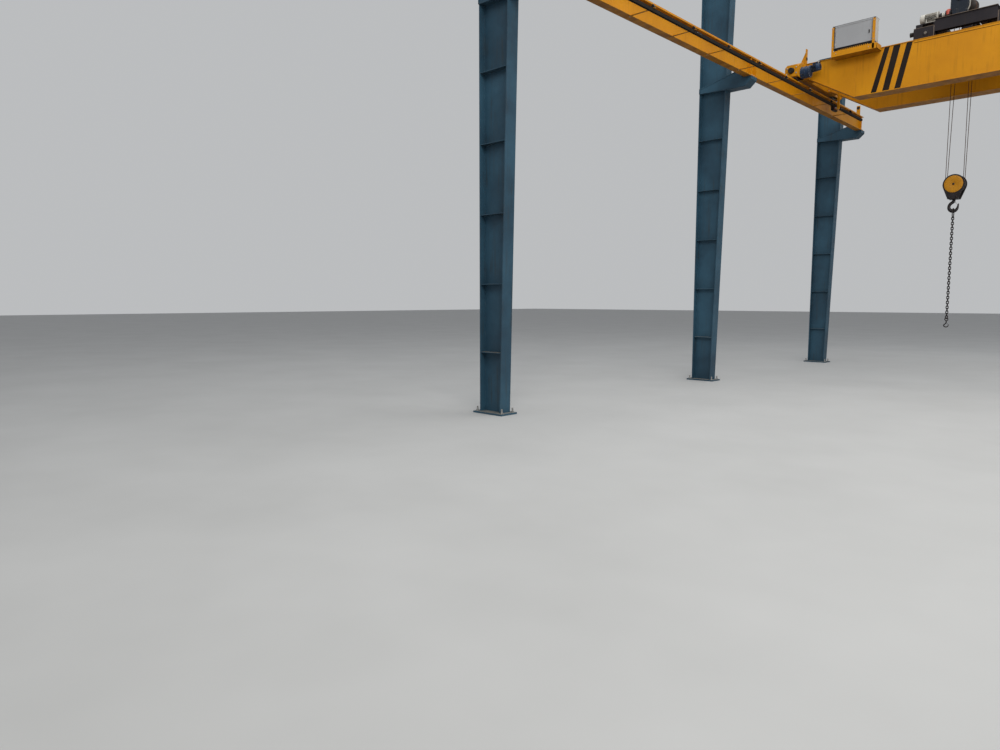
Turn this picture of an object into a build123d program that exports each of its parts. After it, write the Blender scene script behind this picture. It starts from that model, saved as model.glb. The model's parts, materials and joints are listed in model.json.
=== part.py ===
from build123d import *
from math import cos, pi, radians, sin, sqrt
import os

# Overhead travelling crane on its runway: X runs along the bridge, Y along the
# runway, Z up, with the origin on the floor in the middle of the runway.

# Sides of the many-sided rounds
round_sides = 24
small_round_sides = 16

# Runway
span = 12000
bay = 6000
bays = 2
rail_centre = span / 2
runway_overhang = 20
bracket_top = 5725

# Columns
column_depth = 600
column_base_depth = 400
column_width = 200
column_flange = 16
column_web = 10
column_height = 7600
column_face_offset = 380
column_outer = rail_centre + column_face_offset + column_depth
column_stiffener = 10
column_stiffener_inset = 5
column_stiffener_first = 860
column_stiffener_pitch = 955
column_stiffener_count = 5
base_plate_length = 560
base_plate_width = 320
base_plate_thickness = 25
anchor_spacing_x = 480
anchor_spacing_y = 220
anchor_hole_radius = 14
cap_plate_overhang = 20
cap_plate_thickness = 20

# Brackets
bracket_depth = 170
bracket_toe = 90
bracket_toe_lift = 25
bracket_ear_height = 165
bracket_ear_gap = 30
bracket_tip_margin = 5
bracket_nose = 120
bracket_nose_length = 60
bracket_plate = 10

# Runway beams
beam_depth = 325
beam_width = 140
beam_flange = 14
beam_web = 8
beam_joint_gap = 10
stiffener_thickness = 10
stiffener_inset = 5
beam_top = bracket_top + beam_depth

# End stops on the runway
stop_height = 240
stop_width = 80
stop_plate = 20
stop_gusset_length = 150
stop_gusset_thickness = 12
stop_gusset_drop = 30
stop_inset = 20

# Runway rails
rail_width = 50
rail_height = 50
rail_corner = 5
rail_top = beam_top + rail_height

# Conductor rail
conductor_offset = 440
conductor_width = 42
conductor_height = 46
conductor_wall = 5
conductor_slot = 12
hanger_pitch = 1150
hanger_width = 40
hanger_thickness = 5
hanger_overhang = 20
hanger_grip = 50
hanger_clip_height = 55
conductor_end_gap = 1270

# Bridge
crane_y = 3100
girder_gauge = 1300
girder_width = 350
girder_depth = 840
girder_top = 6450
girder_end_depth = 310
girder_taper = 910
girder_land = 65
girder_flange = 10
girder_web = 8
girder_flange_lip = 15
girder_end_plate = 14
girder_end_plate_lip = 30

# End carriages
carriage_length = 2500
carriage_width = 210
carriage_plate = 10
carriage_bottom = 6130
carriage_nose_height = 180
carriage_nose_slope = 260
wheel_base = 2000
wheel_radius = 125
wheel_flange_radius = 140
wheel_tread = 60
wheel_flange = 15
wheel_axle_radius = 30
wheel_well_margin = 18
running_gap = 0.05
seat_gap = 0.3
buffer_radius = 50
buffer_length = 60
buffer_rise = 15
buffer_plate_width = 270
buffer_plate_height = 230
buffer_plate_corner = 45
buffer_plate = 12
wheel_axle_z = rail_top + wheel_radius
carriage_top = girder_top - girder_flange

# Crab rails and crab stops
crab_rail_width = 40
crab_rail_height = 40
crab_rail_end_gap = 40
crab_stop_height = 345
crab_stop_width = 70
crab_stop_plate = 16
crab_stop_gusset = 144
crab_stop_gusset_drop = 40
crab_rail_top = girder_top + crab_rail_height

# Control cabinet, measured from the left rail
cabinet_length = 710
cabinet_depth = 190
cabinet_height = 440
cabinet_offset = 1460
cabinet_floor = 6380
cabinet_stand = 45
cabinet_stand_width = 60
cabinet_stand_inset = 100
cabinet_door_rim = 12
cabinet_door_margin = 20
cabinet_hood = 15
platform_angle = 100
platform_plate = 6
platform_post = 40
platform_post_depth = 215
platform_overhang = 50

# Motors
fin_count = 18
fin_depth = 9
fin_share = 0.4
motor_flange = 14
motor_flange_lip = 8
fan_cover_step = 5
terminal_box_width = 90
terminal_box_length = 90
terminal_box_gap = 10
terminal_box_rise = 38

# Travel drives
drive_gearbox_width = 175
drive_gearbox_radius = 115
drive_gearbox_neck = 80
drive_offset = 45
drive_motor_radius = 72
drive_motor_length = 155
drive_cap_length = 52
drive_motor_rise = 0.07
drive_motor_sink = 8

# Collector
collector_offset_y = -50
collector_arm = 40
collector_arm_offset = 82
collector_level = 6300
collector_shoe_length = 220
collector_shoe_width = 60
collector_shoe_height = 80
collector_shoe_gap = 5
collector_cap_length = 240
collector_cap_width = 74
collector_cap_height = 14

# Crab, measured from the left rail
hook_offset = 2750
crab_offset = 2070
crab_length = 1680
crab_wheel_base = 1280
crab_wheel_radius = 80
crab_wheel_flange_radius = 90
crab_wheel_tread = 48
crab_wheel_flange = 12
crab_axle_radius = 25
crab_axle_reach = 10
crab_side_plate = 12
crab_side_gap = 100
crab_side_lip = 22
crab_side_bottom = 6480
crab_middle_bottom = 6560
crab_side_top = 6780
crab_box_length = 350
crab_box_top = 6680
crab_rail_clear = 15
crab_beam_width = 110
crab_beam_depth = 70
crab_end_beam_depth = 170
crab_beam_offset = 330
crab_deck = 12
crab_deck_opening_x = 550
crab_deck_opening_y = 520
crab_buffer_radius = 40
crab_buffer_length = 70
crab_buffer_z = 6600

# Hoist
drum_radius = 120
drum_flange_radius = 150
drum_flange = 14
drum_length = 620
drum_shaft_radius = 35
drum_shaft_reach = 90
drum_z = 7165
gearbox_gap = 30
gearbox_radius = 150
gearbox_depth = 150
gearbox_rim = 12
gearbox_rim_depth = 20
gearbox_hub_radius = 60
gearbox_neck = 200
gearbox_blind = 40
worm_drop = 260
worm_radius = 60
worm_half_length = 115
worm_cap_radius = 48
worm_cap = 12
brake_gap = 5
brake_width = 100
brake_radius = 62
brake_shoe = 20
brake_shoe_height = 80
brake_arm_rise = 88
brake_arm_width = 60
brake_base = 230
brake_plate = 12
coupling_radius = 48
coupling_length = 110
worm_shaft_radius = 20
motor_radius = 90
motor_length = 240
motor_cap_length = 65
motor_foot = 12
motor_foot_width = 190
motor_saddle_width = 110
pedestal_depth = 50
pedestal_foot = 90
pedestal_foot_length = 340
pedestal_plate = 14
pedestal_head = 60
pedestal_spread = 140
pedestal_gap = 30
equaliser_bar = 50
equaliser_length = 380
equaliser_plate = 14
equaliser_plate_length = 120
equaliser_plate_width = 600
equaliser_drop = 60
crab_drive_width = 95
crab_drive_radius = 78
crab_drive_offset = 100
crab_drive_neck = 68
crab_motor_radius = 62
crab_motor_length = 150
crab_motor_cap_length = 45
rope_radius = 6
rope_sides = 8
drum_rope_spread = 400
equaliser_rope_spread = 300

# Hook block
block_z = 3820
sheave_radius = 150
sheave_spacing = 120
sheave_width = 40
sheave_rim_radius = 168
sheave_rim = 8
cover_radius = 185
cover_thickness = 14
block_plate = 20
block_plate_top = 120
block_plate_corner = 60
block_plate_bottom = 90
block_side_gap = 5
block_pin_radius = 35
block_bottom_z = 3540
crosshead_length = 160
crosshead_height = 70
hook_bowl_z = 3400
hook_shank_radius = 28
hook_nut_radius = 46
hook_nut_height = 28
hook_inner_radius = 50
hook_thickness = 50
hook_back = 104
hook_belly = 118
hook_neck_z = 96
hook_tip_x = 90
hook_tip_z = 56
hook_tip_width = 24
hook_step = 15

# Chain sling
chain_pitch = 48
chain_wire = 16
chain_inner_width = 22
chain_corner = 14
chain_links = 41
master_length = 160
master_width = 100
master_wire = 18
end_eye_radius = 20
end_shank = 60
end_shank_width = 22
end_bowl_radius = 30
end_bowl_wall = 20

os.makedirs("parts", exist_ok=True)


def save(piece, label):
    piece.label = label
    export_step(piece, f"parts/{label}.step")


def i_profile(depth, width, flange, web):
    """An I-section whose web lies along the sketch's first axis."""
    Rectangle(depth, web)
    with Locations((-(depth - flange) / 2, 0), ((depth - flange) / 2, 0)):
        Rectangle(flange, width)


def column_ys():
    return [(i - bays / 2) * bay for i in range(bays + 1)]


def arc_points(centre, radius, start, end, step):
    """Points on an arc, from start to end in degrees."""
    count = round(abs(end - start) / step)
    turns = [radians(start + (end - start) * number / count) for number in range(count + 1)]
    return [(centre[0] + radius * cos(turn), centre[1] + radius * sin(turn)) for turn in turns]


def fin_ring(radius):
    """The closed outline of a round body with cooling fins."""
    points = []
    for number in range(fin_count):
        start = 2 * pi * number / fin_count
        end = start + 2 * pi * fin_share / fin_count
        for reach, turn in ((radius - fin_depth, start), (radius, start), (radius, end), (radius - fin_depth, end)):
            points.append((reach * cos(turn), reach * sin(turn)))
    Polyline(*points, close=True)


def finned_motor(front, radius, length, cap_length):
    """A motor that runs from the plane front along its normal, with its fan cover last."""
    with BuildPart() as body:
        with BuildSketch(front):
            RegularPolygon(radius + motor_flange_lip, round_sides)
        extrude(amount=motor_flange)
        with BuildSketch(front.offset(motor_flange)):
            with BuildLine():
                fin_ring(radius)
            make_face()
        extrude(amount=length - motor_flange)
        with BuildSketch(front.offset(length)):
            RegularPolygon(radius - fan_cover_step, round_sides)
        extrude(amount=cap_length)
        with BuildSketch(front.offset(motor_flange + terminal_box_gap)):
            with Locations((0, radius - fin_depth)):
                Rectangle(terminal_box_width, 2 * (terminal_box_rise + fin_depth))
        extrude(amount=terminal_box_length)
    return body.part


def column_depth_at(level):
    """The column's depth, which grows evenly from its foot to its head."""
    return column_base_depth + (column_depth - column_base_depth) * level / column_height


def column_outline(side, inset):
    """The column's side outline, upright outside and sloping inside, drawn in from its flanges by inset."""
    low = base_plate_thickness
    high = column_height - cap_plate_thickness
    outer = column_outer - inset
    Polyline(
        (side * outer, low),
        (side * (column_outer - column_depth_at(low) + inset), low),
        (side * (column_outer - column_depth_at(high) + inset), high),
        (side * outer, high),
        close=True,
    )


def bracket_outline(side):
    """The bracket's side outline: a wedge across the column, an ear beside the beam and a nose under it."""
    tip = rail_centre - beam_width / 2 - bracket_tip_margin
    ear = rail_centre + beam_width / 2 + bracket_ear_gap
    low = bracket_top - bracket_depth
    Polyline(
        (side * column_outer, low + bracket_toe_lift),
        (side * column_outer, low + bracket_toe_lift + bracket_toe),
        (side * ear, bracket_top + bracket_ear_height),
        (side * ear, bracket_top),
        (side * tip, bracket_top),
        (side * tip, bracket_top - bracket_nose_length),
        (side * (tip + bracket_nose), low),
        (side * (column_outer - column_depth_at(low)), low),
        close=True,
    )


def make_bracket(side, y):
    """A closed bracket whose cheeks lap over the column's flanges."""
    with BuildPart() as bracket:
        with BuildSketch(Plane.XZ.offset(-y)):
            with BuildLine():
                bracket_outline(side)
            make_face()
        extrude(amount=column_width / 2 + bracket_plate, both=True)
        with BuildSketch(Plane.XZ.offset(-y)):
            with BuildLine():
                bracket_outline(side)
            make_face()
            offset(amount=-bracket_plate, kind=Kind.INTERSECTION)
        extrude(amount=column_width / 2, both=True, mode=Mode.SUBTRACT)
    return bracket.part


def make_column(label, side, y):
    foot_x = side * (column_outer - column_base_depth / 2)
    head_x = side * (column_outer - column_depth / 2)
    with BuildPart() as column:
        with BuildSketch():
            with Locations((foot_x, y)):
                Rectangle(base_plate_length, base_plate_width)
                with GridLocations(anchor_spacing_x, anchor_spacing_y, 2, 2):
                    Circle(anchor_hole_radius, mode=Mode.SUBTRACT)
        extrude(amount=base_plate_thickness)
        with BuildSketch(Plane.XZ.offset(-y)):
            with BuildLine():
                column_outline(side, 0)
            make_face()
        extrude(amount=column_width / 2, both=True)
        for face in (-1, 1):
            with BuildSketch(Plane.XZ.offset(-y - face * column_web / 2)):
                with BuildLine():
                    column_outline(side, column_flange)
                make_face()
            extrude(amount=-face * column_width, mode=Mode.SUBTRACT)
        with BuildSketch(Plane.XY.offset(column_height - cap_plate_thickness)):
            with Locations((head_x, y)):
                Rectangle(column_depth + 2 * cap_plate_overhang, column_width + 2 * cap_plate_overhang)
        extrude(amount=cap_plate_thickness)
        for number in range(column_stiffener_count):
            level = column_stiffener_first + number * column_stiffener_pitch
            depth = column_depth_at(level)
            with BuildSketch(Plane.XY.offset(level)):
                with Locations((side * (column_outer - depth / 2), y)):
                    Rectangle(depth - column_flange, column_width - 2 * column_stiffener_inset)
            extrude(amount=column_stiffener)
        add(make_bracket(side, y))
    save(column.part, label)


for side, side_name in ((-1, "left"), (1, "right")):
    for number, column_y in enumerate(column_ys(), 1):
        make_column(f"column_{side_name}_{number}", side, column_y)


def make_runway_beam(label, side, start, end, stop_at):
    """One bay of the runway beam, with bearing stiffeners and, at its outer end, the end stop."""
    centre = side * rail_centre
    with BuildPart() as beam:
        with BuildSketch(Plane.XZ.offset(-start)):
            with Locations((centre, bracket_top + beam_depth / 2)):
                with Locations(Rotation(0, 0, 90)):
                    i_profile(beam_depth, beam_width, beam_flange, beam_web)
        extrude(amount=-(end - start))
        for bearing in (start + column_width / 2, end - column_width / 2):
            with BuildSketch(Plane.XZ.offset(-bearing)):
                with Locations((centre, bracket_top + beam_depth / 2)):
                    Rectangle(beam_width - 2 * stiffener_inset, beam_depth - beam_flange)
            extrude(amount=stiffener_thickness / 2, both=True)
        inward = 1 if stop_at < 0 else -1
        plate_y = stop_at + inward * (stop_gusset_length + stop_inset)
        with BuildSketch(Plane.XY.offset(beam_top)):
            with Locations((centre, plate_y + inward * stop_plate / 2)):
                Rectangle(stop_width, stop_plate)
        extrude(amount=stop_height)
        with BuildSketch(Plane.YZ.offset(centre)):
            with BuildLine():
                Polyline(
                    (plate_y, beam_top),
                    (plate_y - inward * stop_gusset_length, beam_top),
                    (plate_y, beam_top + stop_height - stop_gusset_drop),
                    close=True,
                )
            make_face()
        extrude(amount=stop_gusset_thickness / 2, both=True)
    save(beam.part, label)


runway_half = bays * bay / 2 + runway_overhang
for side, side_name in ((-1, "left"), (1, "right")):
    make_runway_beam(f"runway_beam_{side_name}_near", side, -runway_half, -beam_joint_gap / 2, -runway_half)
    make_runway_beam(f"runway_beam_{side_name}_far", side, beam_joint_gap / 2, runway_half, runway_half)

stop_face = runway_half - stop_inset - stop_gusset_length - stop_plate
rail_end = stop_face - seat_gap
for side, side_name in ((-1, "left"), (1, "right")):
    with BuildPart() as runway_rail:
        with BuildSketch(Plane.XZ.offset(rail_end)):
            with Locations((side * rail_centre, beam_top + rail_height / 2)):
                rail_section = Rectangle(rail_width, rail_height)
            chamfer(rail_section.vertices().group_by(Axis.Y)[-1], rail_corner)
        extrude(amount=-2 * rail_end)
    save(runway_rail.part, f"runway_rail_{side_name}")

hanger_z = bracket_top - hanger_thickness
conductor_x = -rail_centre + conductor_offset
conductor_top = hanger_z
conductor_half = runway_half - conductor_end_gap
with BuildPart() as conductor:
    with BuildSketch(Plane.XZ.offset(conductor_half)):
        with Locations((conductor_x, conductor_top - conductor_height / 2)):
            Rectangle(conductor_width, conductor_height)
            Rectangle(
                conductor_width - 2 * conductor_wall,
                conductor_height - 2 * conductor_wall,
                mode=Mode.SUBTRACT,
            )
        with Locations((conductor_x, conductor_top - conductor_height)):
            Rectangle(conductor_slot, 3 * conductor_wall, mode=Mode.SUBTRACT)
    extrude(amount=-2 * conductor_half)
save(conductor.part, "conductor_rail")

hanger_start = -rail_centre + beam_width / 2 - hanger_grip
hanger_end = conductor_x + conductor_width / 2 + hanger_overhang
hanger_count = int(2 * conductor_half / hanger_pitch)
hanger_start_y = -(hanger_count - 1) * hanger_pitch / 2
with BuildPart() as hangers:
    for number in range(hanger_count):
        hanger_y = hanger_start_y + number * hanger_pitch
        with BuildSketch(Plane.XY.offset(hanger_z)):
            with Locations(((hanger_start + hanger_end) / 2, hanger_y)):
                Rectangle(hanger_end - hanger_start, hanger_width)
        extrude(amount=hanger_thickness)
        with BuildSketch(Plane.XZ.offset(-hanger_y)):
            with BuildLine():
                Polyline(
                    (conductor_x - hanger_width, bracket_top),
                    (conductor_x + hanger_width, bracket_top),
                    (conductor_x, bracket_top + hanger_clip_height),
                    close=True,
                )
            make_face()
        extrude(amount=hanger_thickness / 2, both=True)
save(hangers.part, "conductor_hangers")


def girder_outline(inset):
    """The girder's side outline between the end carriages, tapered up at both ends."""
    end = rail_centre - carriage_width / 2 - girder_end_plate
    top = girder_top - girder_flange
    bottom = girder_top - girder_depth
    shallow = girder_top - girder_end_depth
    bend = rail_centre - carriage_width / 2 - girder_land - girder_taper
    land = rail_centre - carriage_width / 2 - girder_land
    Polyline(
        (-end, top),
        (-end, shallow + inset),
        (-land, shallow + inset),
        (-bend, bottom + inset),
        (bend, bottom + inset),
        (land, shallow + inset),
        (end, shallow + inset),
        (end, top),
        close=True,
    )


crab_stop_x = rail_centre + carriage_width / 2 - crab_stop_gusset - crab_stop_plate


def make_girder(label, y):
    """A box girder with a top plate that laps over the end carriages, and the crab's stops."""
    with BuildPart() as girder:
        with BuildSketch(Plane.XZ.offset(-y)):
            with BuildLine():
                girder_outline(0)
            make_face()
        extrude(amount=girder_width / 2, both=True)
        web_face = girder_width / 2 - girder_flange_lip
        with BuildSketch(Plane.XZ.offset(-y)):
            with BuildLine():
                girder_outline(girder_flange)
            make_face()
        extrude(amount=web_face - girder_web, both=True, mode=Mode.SUBTRACT)
        for face in (-1, 1):
            with BuildSketch(Plane.XZ.offset(-y - face * web_face)):
                with BuildLine():
                    girder_outline(girder_flange)
                make_face()
            extrude(amount=-face * girder_flange_lip, mode=Mode.SUBTRACT)
        with BuildSketch(Plane.XY.offset(girder_top - girder_flange)):
            with Locations((0, y)):
                Rectangle(span + carriage_width, girder_width)
        extrude(amount=girder_flange)
        for end in (-1, 1):
            face = end * (rail_centre - carriage_width / 2)
            with BuildSketch(Plane.YZ.offset(face)):
                with Locations((y, girder_top - girder_end_depth / 2 - girder_flange / 2)):
                    Rectangle(girder_width + 2 * girder_end_plate_lip, girder_end_depth - girder_flange)
            extrude(amount=-end * girder_end_plate)
            stop_x = end * crab_stop_x
            with BuildSketch(Plane.XY.offset(girder_top)):
                with Locations((stop_x + end * crab_stop_plate / 2, y)):
                    Rectangle(crab_stop_plate, crab_stop_width)
            extrude(amount=crab_stop_height)
            with BuildSketch(Plane.XZ.offset(-y)):
                with BuildLine():
                    Polyline(
                        (stop_x + end * crab_stop_plate, girder_top),
                        (stop_x + end * (crab_stop_plate + crab_stop_gusset), girder_top),
                        (stop_x + end * crab_stop_plate, girder_top + crab_stop_height - crab_stop_gusset_drop),
                        close=True,
                    )
                make_face()
            extrude(amount=crab_stop_plate / 2, both=True)
    save(girder.part, label)


girder_ys = {"near": crane_y - girder_gauge / 2, "far": crane_y + girder_gauge / 2}
for name, girder_y in girder_ys.items():
    make_girder(f"girder_{name}", girder_y)

crab_rail_half = crab_stop_x - crab_rail_end_gap
for name, girder_y in girder_ys.items():
    with BuildPart() as crab_rail:
        with BuildSketch(Plane.YZ.offset(-crab_rail_half)):
            with Locations((girder_y, girder_top + crab_rail_height / 2)):
                crab_rail_section = Rectangle(crab_rail_width, crab_rail_height)
            chamfer(crab_rail_section.vertices().group_by(Axis.Y)[-1], rail_corner)
        extrude(amount=2 * crab_rail_half)
    save(crab_rail.part, f"crab_rail_{name}")

wheel_ys = (crane_y - wheel_base / 2, crane_y + wheel_base / 2)


def carriage_outline(inset):
    """The carriage's side outline, with its top sloping down to both ends."""
    end = carriage_length / 2 - inset
    nose = carriage_bottom + carriage_nose_height - inset
    slope = carriage_length / 2 - carriage_nose_slope
    Polyline(
        (crane_y - end, carriage_bottom + inset),
        (crane_y + end, carriage_bottom + inset),
        (crane_y + end, nose),
        (crane_y + slope, carriage_top - inset),
        (crane_y - slope, carriage_top - inset),
        (crane_y - end, nose),
        close=True,
    )


def make_carriage(label, side):
    centre = side * rail_centre
    with BuildPart() as carriage:
        with BuildSketch(Plane.YZ.offset(centre)):
            with BuildLine():
                carriage_outline(0)
            make_face()
        extrude(amount=carriage_width / 2, both=True)
        with BuildSketch(Plane.YZ.offset(centre)):
            with BuildLine():
                carriage_outline(carriage_plate)
            make_face()
        extrude(amount=carriage_width / 2 - carriage_plate, both=True, mode=Mode.SUBTRACT)
        for wheel_y in wheel_ys:
            with BuildSketch(Plane.XY.offset(carriage_bottom)):
                with Locations((centre, wheel_y)):
                    Rectangle(
                        carriage_width - 2 * carriage_plate,
                        2 * (wheel_flange_radius + wheel_well_margin),
                    )
            extrude(amount=carriage_plate, mode=Mode.SUBTRACT)
            with BuildSketch(Plane.YZ.offset(centre)):
                with Locations((wheel_y, wheel_axle_z)):
                    Circle(wheel_axle_radius + running_gap)
            extrude(amount=carriage_width, both=True, mode=Mode.SUBTRACT)
        for end in (-1, 1):
            with BuildSketch(Plane.XZ.offset(-crane_y - end * carriage_length / 2)):
                with Locations((centre, wheel_axle_z + buffer_rise)):
                    end_plate = Rectangle(buffer_plate_width, buffer_plate_height)
                chamfer(end_plate.vertices(), buffer_plate_corner)
            extrude(amount=-end * buffer_plate)
            with BuildSketch(Plane.XZ.offset(-crane_y - end * (carriage_length / 2 + buffer_plate))):
                with Locations((centre, wheel_axle_z + buffer_rise)):
                    RegularPolygon(buffer_radius, round_sides)
            extrude(amount=-end * buffer_length)
    save(carriage.part, label)


make_carriage("end_carriage_left", -1)
make_carriage("end_carriage_right", 1)


def make_wheel(label, side, wheel_y):
    """A double-flanged wheel with its axle."""
    centre = side * rail_centre
    with BuildPart() as wheel:
        with BuildSketch(Plane.YZ.offset(centre)):
            with Locations((wheel_y, wheel_axle_z)):
                Circle(wheel_axle_radius)
        extrude(amount=carriage_width / 2, both=True)
        with BuildSketch(Plane.YZ.offset(centre)):
            with Locations((wheel_y, wheel_axle_z)):
                RegularPolygon(wheel_radius, round_sides)
        extrude(amount=wheel_tread / 2, both=True)
        for face in (-1, 1):
            with BuildSketch(Plane.YZ.offset(centre + face * wheel_tread / 2)):
                with Locations((wheel_y, wheel_axle_z)):
                    RegularPolygon(wheel_flange_radius, round_sides)
            extrude(amount=face * wheel_flange)
    save(wheel.part, label)


for side, side_name in ((-1, "left"), (1, "right")):
    for end_name, wheel_y in zip(("near", "far"), wheel_ys):
        make_wheel(f"bridge_wheel_{side_name}_{end_name}", side, wheel_y)


def make_drive(label, side):
    """A shaft-mounted gearbox on the near wheel's axle, with its motor lying along the bridge."""
    inner = side * (rail_centre - carriage_width / 2 - seat_gap)
    motor_z = wheel_axle_z + drive_offset
    motor_start = inner - side * (drive_gearbox_width - drive_motor_sink)
    front = Plane(
        origin=(motor_start, wheel_ys[0], motor_z),
        x_dir=(0, -side, 0),
        z_dir=(-side, 0, drive_motor_rise),
    )
    with BuildPart() as drive:
        with BuildSketch(Plane.YZ.offset(inner)):
            with Locations((wheel_ys[0], wheel_axle_z)):
                RegularPolygon(drive_gearbox_radius, round_sides)
            with Locations((wheel_ys[0], (wheel_axle_z + motor_z) / 2)):
                Rectangle(2 * drive_gearbox_neck, drive_offset)
            with Locations((wheel_ys[0], motor_z)):
                RegularPolygon(drive_gearbox_neck, round_sides)
        extrude(amount=-side * drive_gearbox_width)
        add(finned_motor(front, drive_motor_radius, drive_motor_length, drive_cap_length))
    save(drive.part, label)


make_drive("travel_drive_left", -1)
make_drive("travel_drive_right", 1)

girder_face = girder_ys["near"] - girder_width / 2
cabinet_right = -rail_centre + cabinet_offset
cabinet_centre_x = cabinet_right - cabinet_length / 2
hood_length = cabinet_length + 2 * platform_post
platform_length = hood_length + platform_overhang
platform_centre_x = cabinet_centre_x + platform_overhang / 2
platform_depth = cabinet_depth + 2 * platform_post
cabinet_centre_y = girder_face - platform_depth / 2
cabinet_bottom = cabinet_floor + platform_angle + cabinet_stand
cabinet_top = cabinet_bottom + cabinet_height

with BuildPart() as platform:
    with BuildSketch(Plane.XY.offset(cabinet_floor)):
        with Locations((platform_centre_x, cabinet_centre_y)):
            Rectangle(platform_length, platform_depth)
    extrude(amount=platform_angle)
    with BuildSketch(Plane.XY.offset(cabinet_floor + platform_plate)):
        with Locations((platform_centre_x, cabinet_centre_y)):
            Rectangle(platform_length - 2 * platform_plate, platform_depth - 2 * platform_plate)
    extrude(amount=platform_angle, mode=Mode.SUBTRACT)
    with BuildSketch(Plane.XY.offset(cabinet_floor + platform_plate)):
        for end in (-1, 1):
            post_edge = cabinet_centre_x + end * hood_length / 2
            platform_near = cabinet_centre_y - platform_depth / 2
            with Locations((post_edge - end * (platform_post - seat_gap) / 2, platform_near + platform_plate / 2)):
                Rectangle(platform_post - seat_gap, platform_plate)
            with Locations((post_edge - end * platform_plate / 2, platform_near + platform_post_depth / 2)):
                Rectangle(platform_plate, platform_post_depth)
    extrude(amount=cabinet_top - cabinet_floor - platform_plate)
    with BuildSketch(Plane.XY.offset(cabinet_floor + platform_plate)):
        with Locations((cabinet_centre_x, cabinet_centre_y)):
            with GridLocations(cabinet_length - 2 * cabinet_stand_inset, 0, 2, 1):
                Rectangle(cabinet_stand_width, cabinet_depth - platform_post)
    extrude(amount=cabinet_bottom - cabinet_floor - platform_plate)
save(platform.part, "cabinet_platform")

with BuildPart() as cabinet:
    with BuildSketch(Plane.XY.offset(cabinet_bottom)):
        with Locations((cabinet_centre_x, cabinet_centre_y)):
            Rectangle(cabinet_length, cabinet_depth)
    extrude(amount=cabinet_height)
    with BuildSketch(Plane.XZ.offset(-cabinet_centre_y + cabinet_depth / 2)):
        with Locations((cabinet_centre_x, cabinet_bottom + cabinet_height / 2)):
            Rectangle(cabinet_length - 2 * cabinet_door_margin, cabinet_height - 2 * cabinet_door_margin)
    extrude(amount=cabinet_door_rim)
    with BuildSketch(Plane.XY.offset(cabinet_top)):
        with Locations((cabinet_centre_x, cabinet_centre_y)):
            Rectangle(hood_length, cabinet_depth + 2 * cabinet_hood)
    extrude(amount=platform_plate)
save(cabinet.part, "control_cabinet")

collector_y = crane_y + collector_offset_y
shoe_top = conductor_top - conductor_height - collector_shoe_gap
shoe_bottom = shoe_top - collector_shoe_height
carriage_inner = -rail_centre + carriage_width / 2
arm_x = conductor_x + collector_arm_offset
arm_z = (shoe_top + shoe_bottom) / 2
with BuildPart() as collector:
    with BuildSketch(Plane.XY.offset(shoe_bottom)):
        with Locations((conductor_x, collector_y)):
            Rectangle(collector_shoe_width, collector_shoe_length)
    extrude(amount=collector_shoe_height)
    with BuildSketch(Plane.XY.offset(shoe_top - collector_cap_height)):
        with Locations((conductor_x, collector_y)):
            Rectangle(collector_cap_width, collector_cap_length)
    extrude(amount=collector_cap_height)
    with BuildSketch(Plane.YZ.offset(conductor_x)):
        with Locations((collector_y, arm_z)):
            Rectangle(collector_arm, collector_arm)
    extrude(amount=collector_arm_offset + collector_arm / 2)
    with BuildSketch(Plane.XY.offset(arm_z)):
        with Locations((arm_x, collector_y)):
            Rectangle(collector_arm, collector_arm)
    extrude(amount=collector_level - arm_z)
    with BuildSketch(Plane.YZ.offset(carriage_inner)):
        with Locations((collector_y, collector_level - collector_arm / 2)):
            Rectangle(collector_arm, collector_arm)
    extrude(amount=arm_x - carriage_inner)
save(collector.part, "collector")

hook_x = -rail_centre + hook_offset
crab_left = -rail_centre + crab_offset
crab_right = crab_left + crab_length
crab_centre_x = (crab_left + crab_right) / 2
crab_wheel_axle_z = crab_rail_top + crab_wheel_radius
crab_wheel_xs = (crab_centre_x - crab_wheel_base / 2, crab_centre_x + crab_wheel_base / 2)
crab_beam_xs = (
    crab_left + crab_beam_width / 2,
    hook_x - crab_beam_offset,
    hook_x + crab_beam_offset,
    crab_right - crab_beam_width / 2,
)
crab_inner_near = girder_ys["near"] + crab_side_gap / 2 + crab_side_plate
crab_inner_far = girder_ys["far"] - crab_side_gap / 2 - crab_side_plate
crab_deck_top = crab_side_top
crab_side_width = crab_side_gap + 2 * crab_side_plate
crab_side_middle = (crab_side_bottom + crab_side_top) / 2

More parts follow.
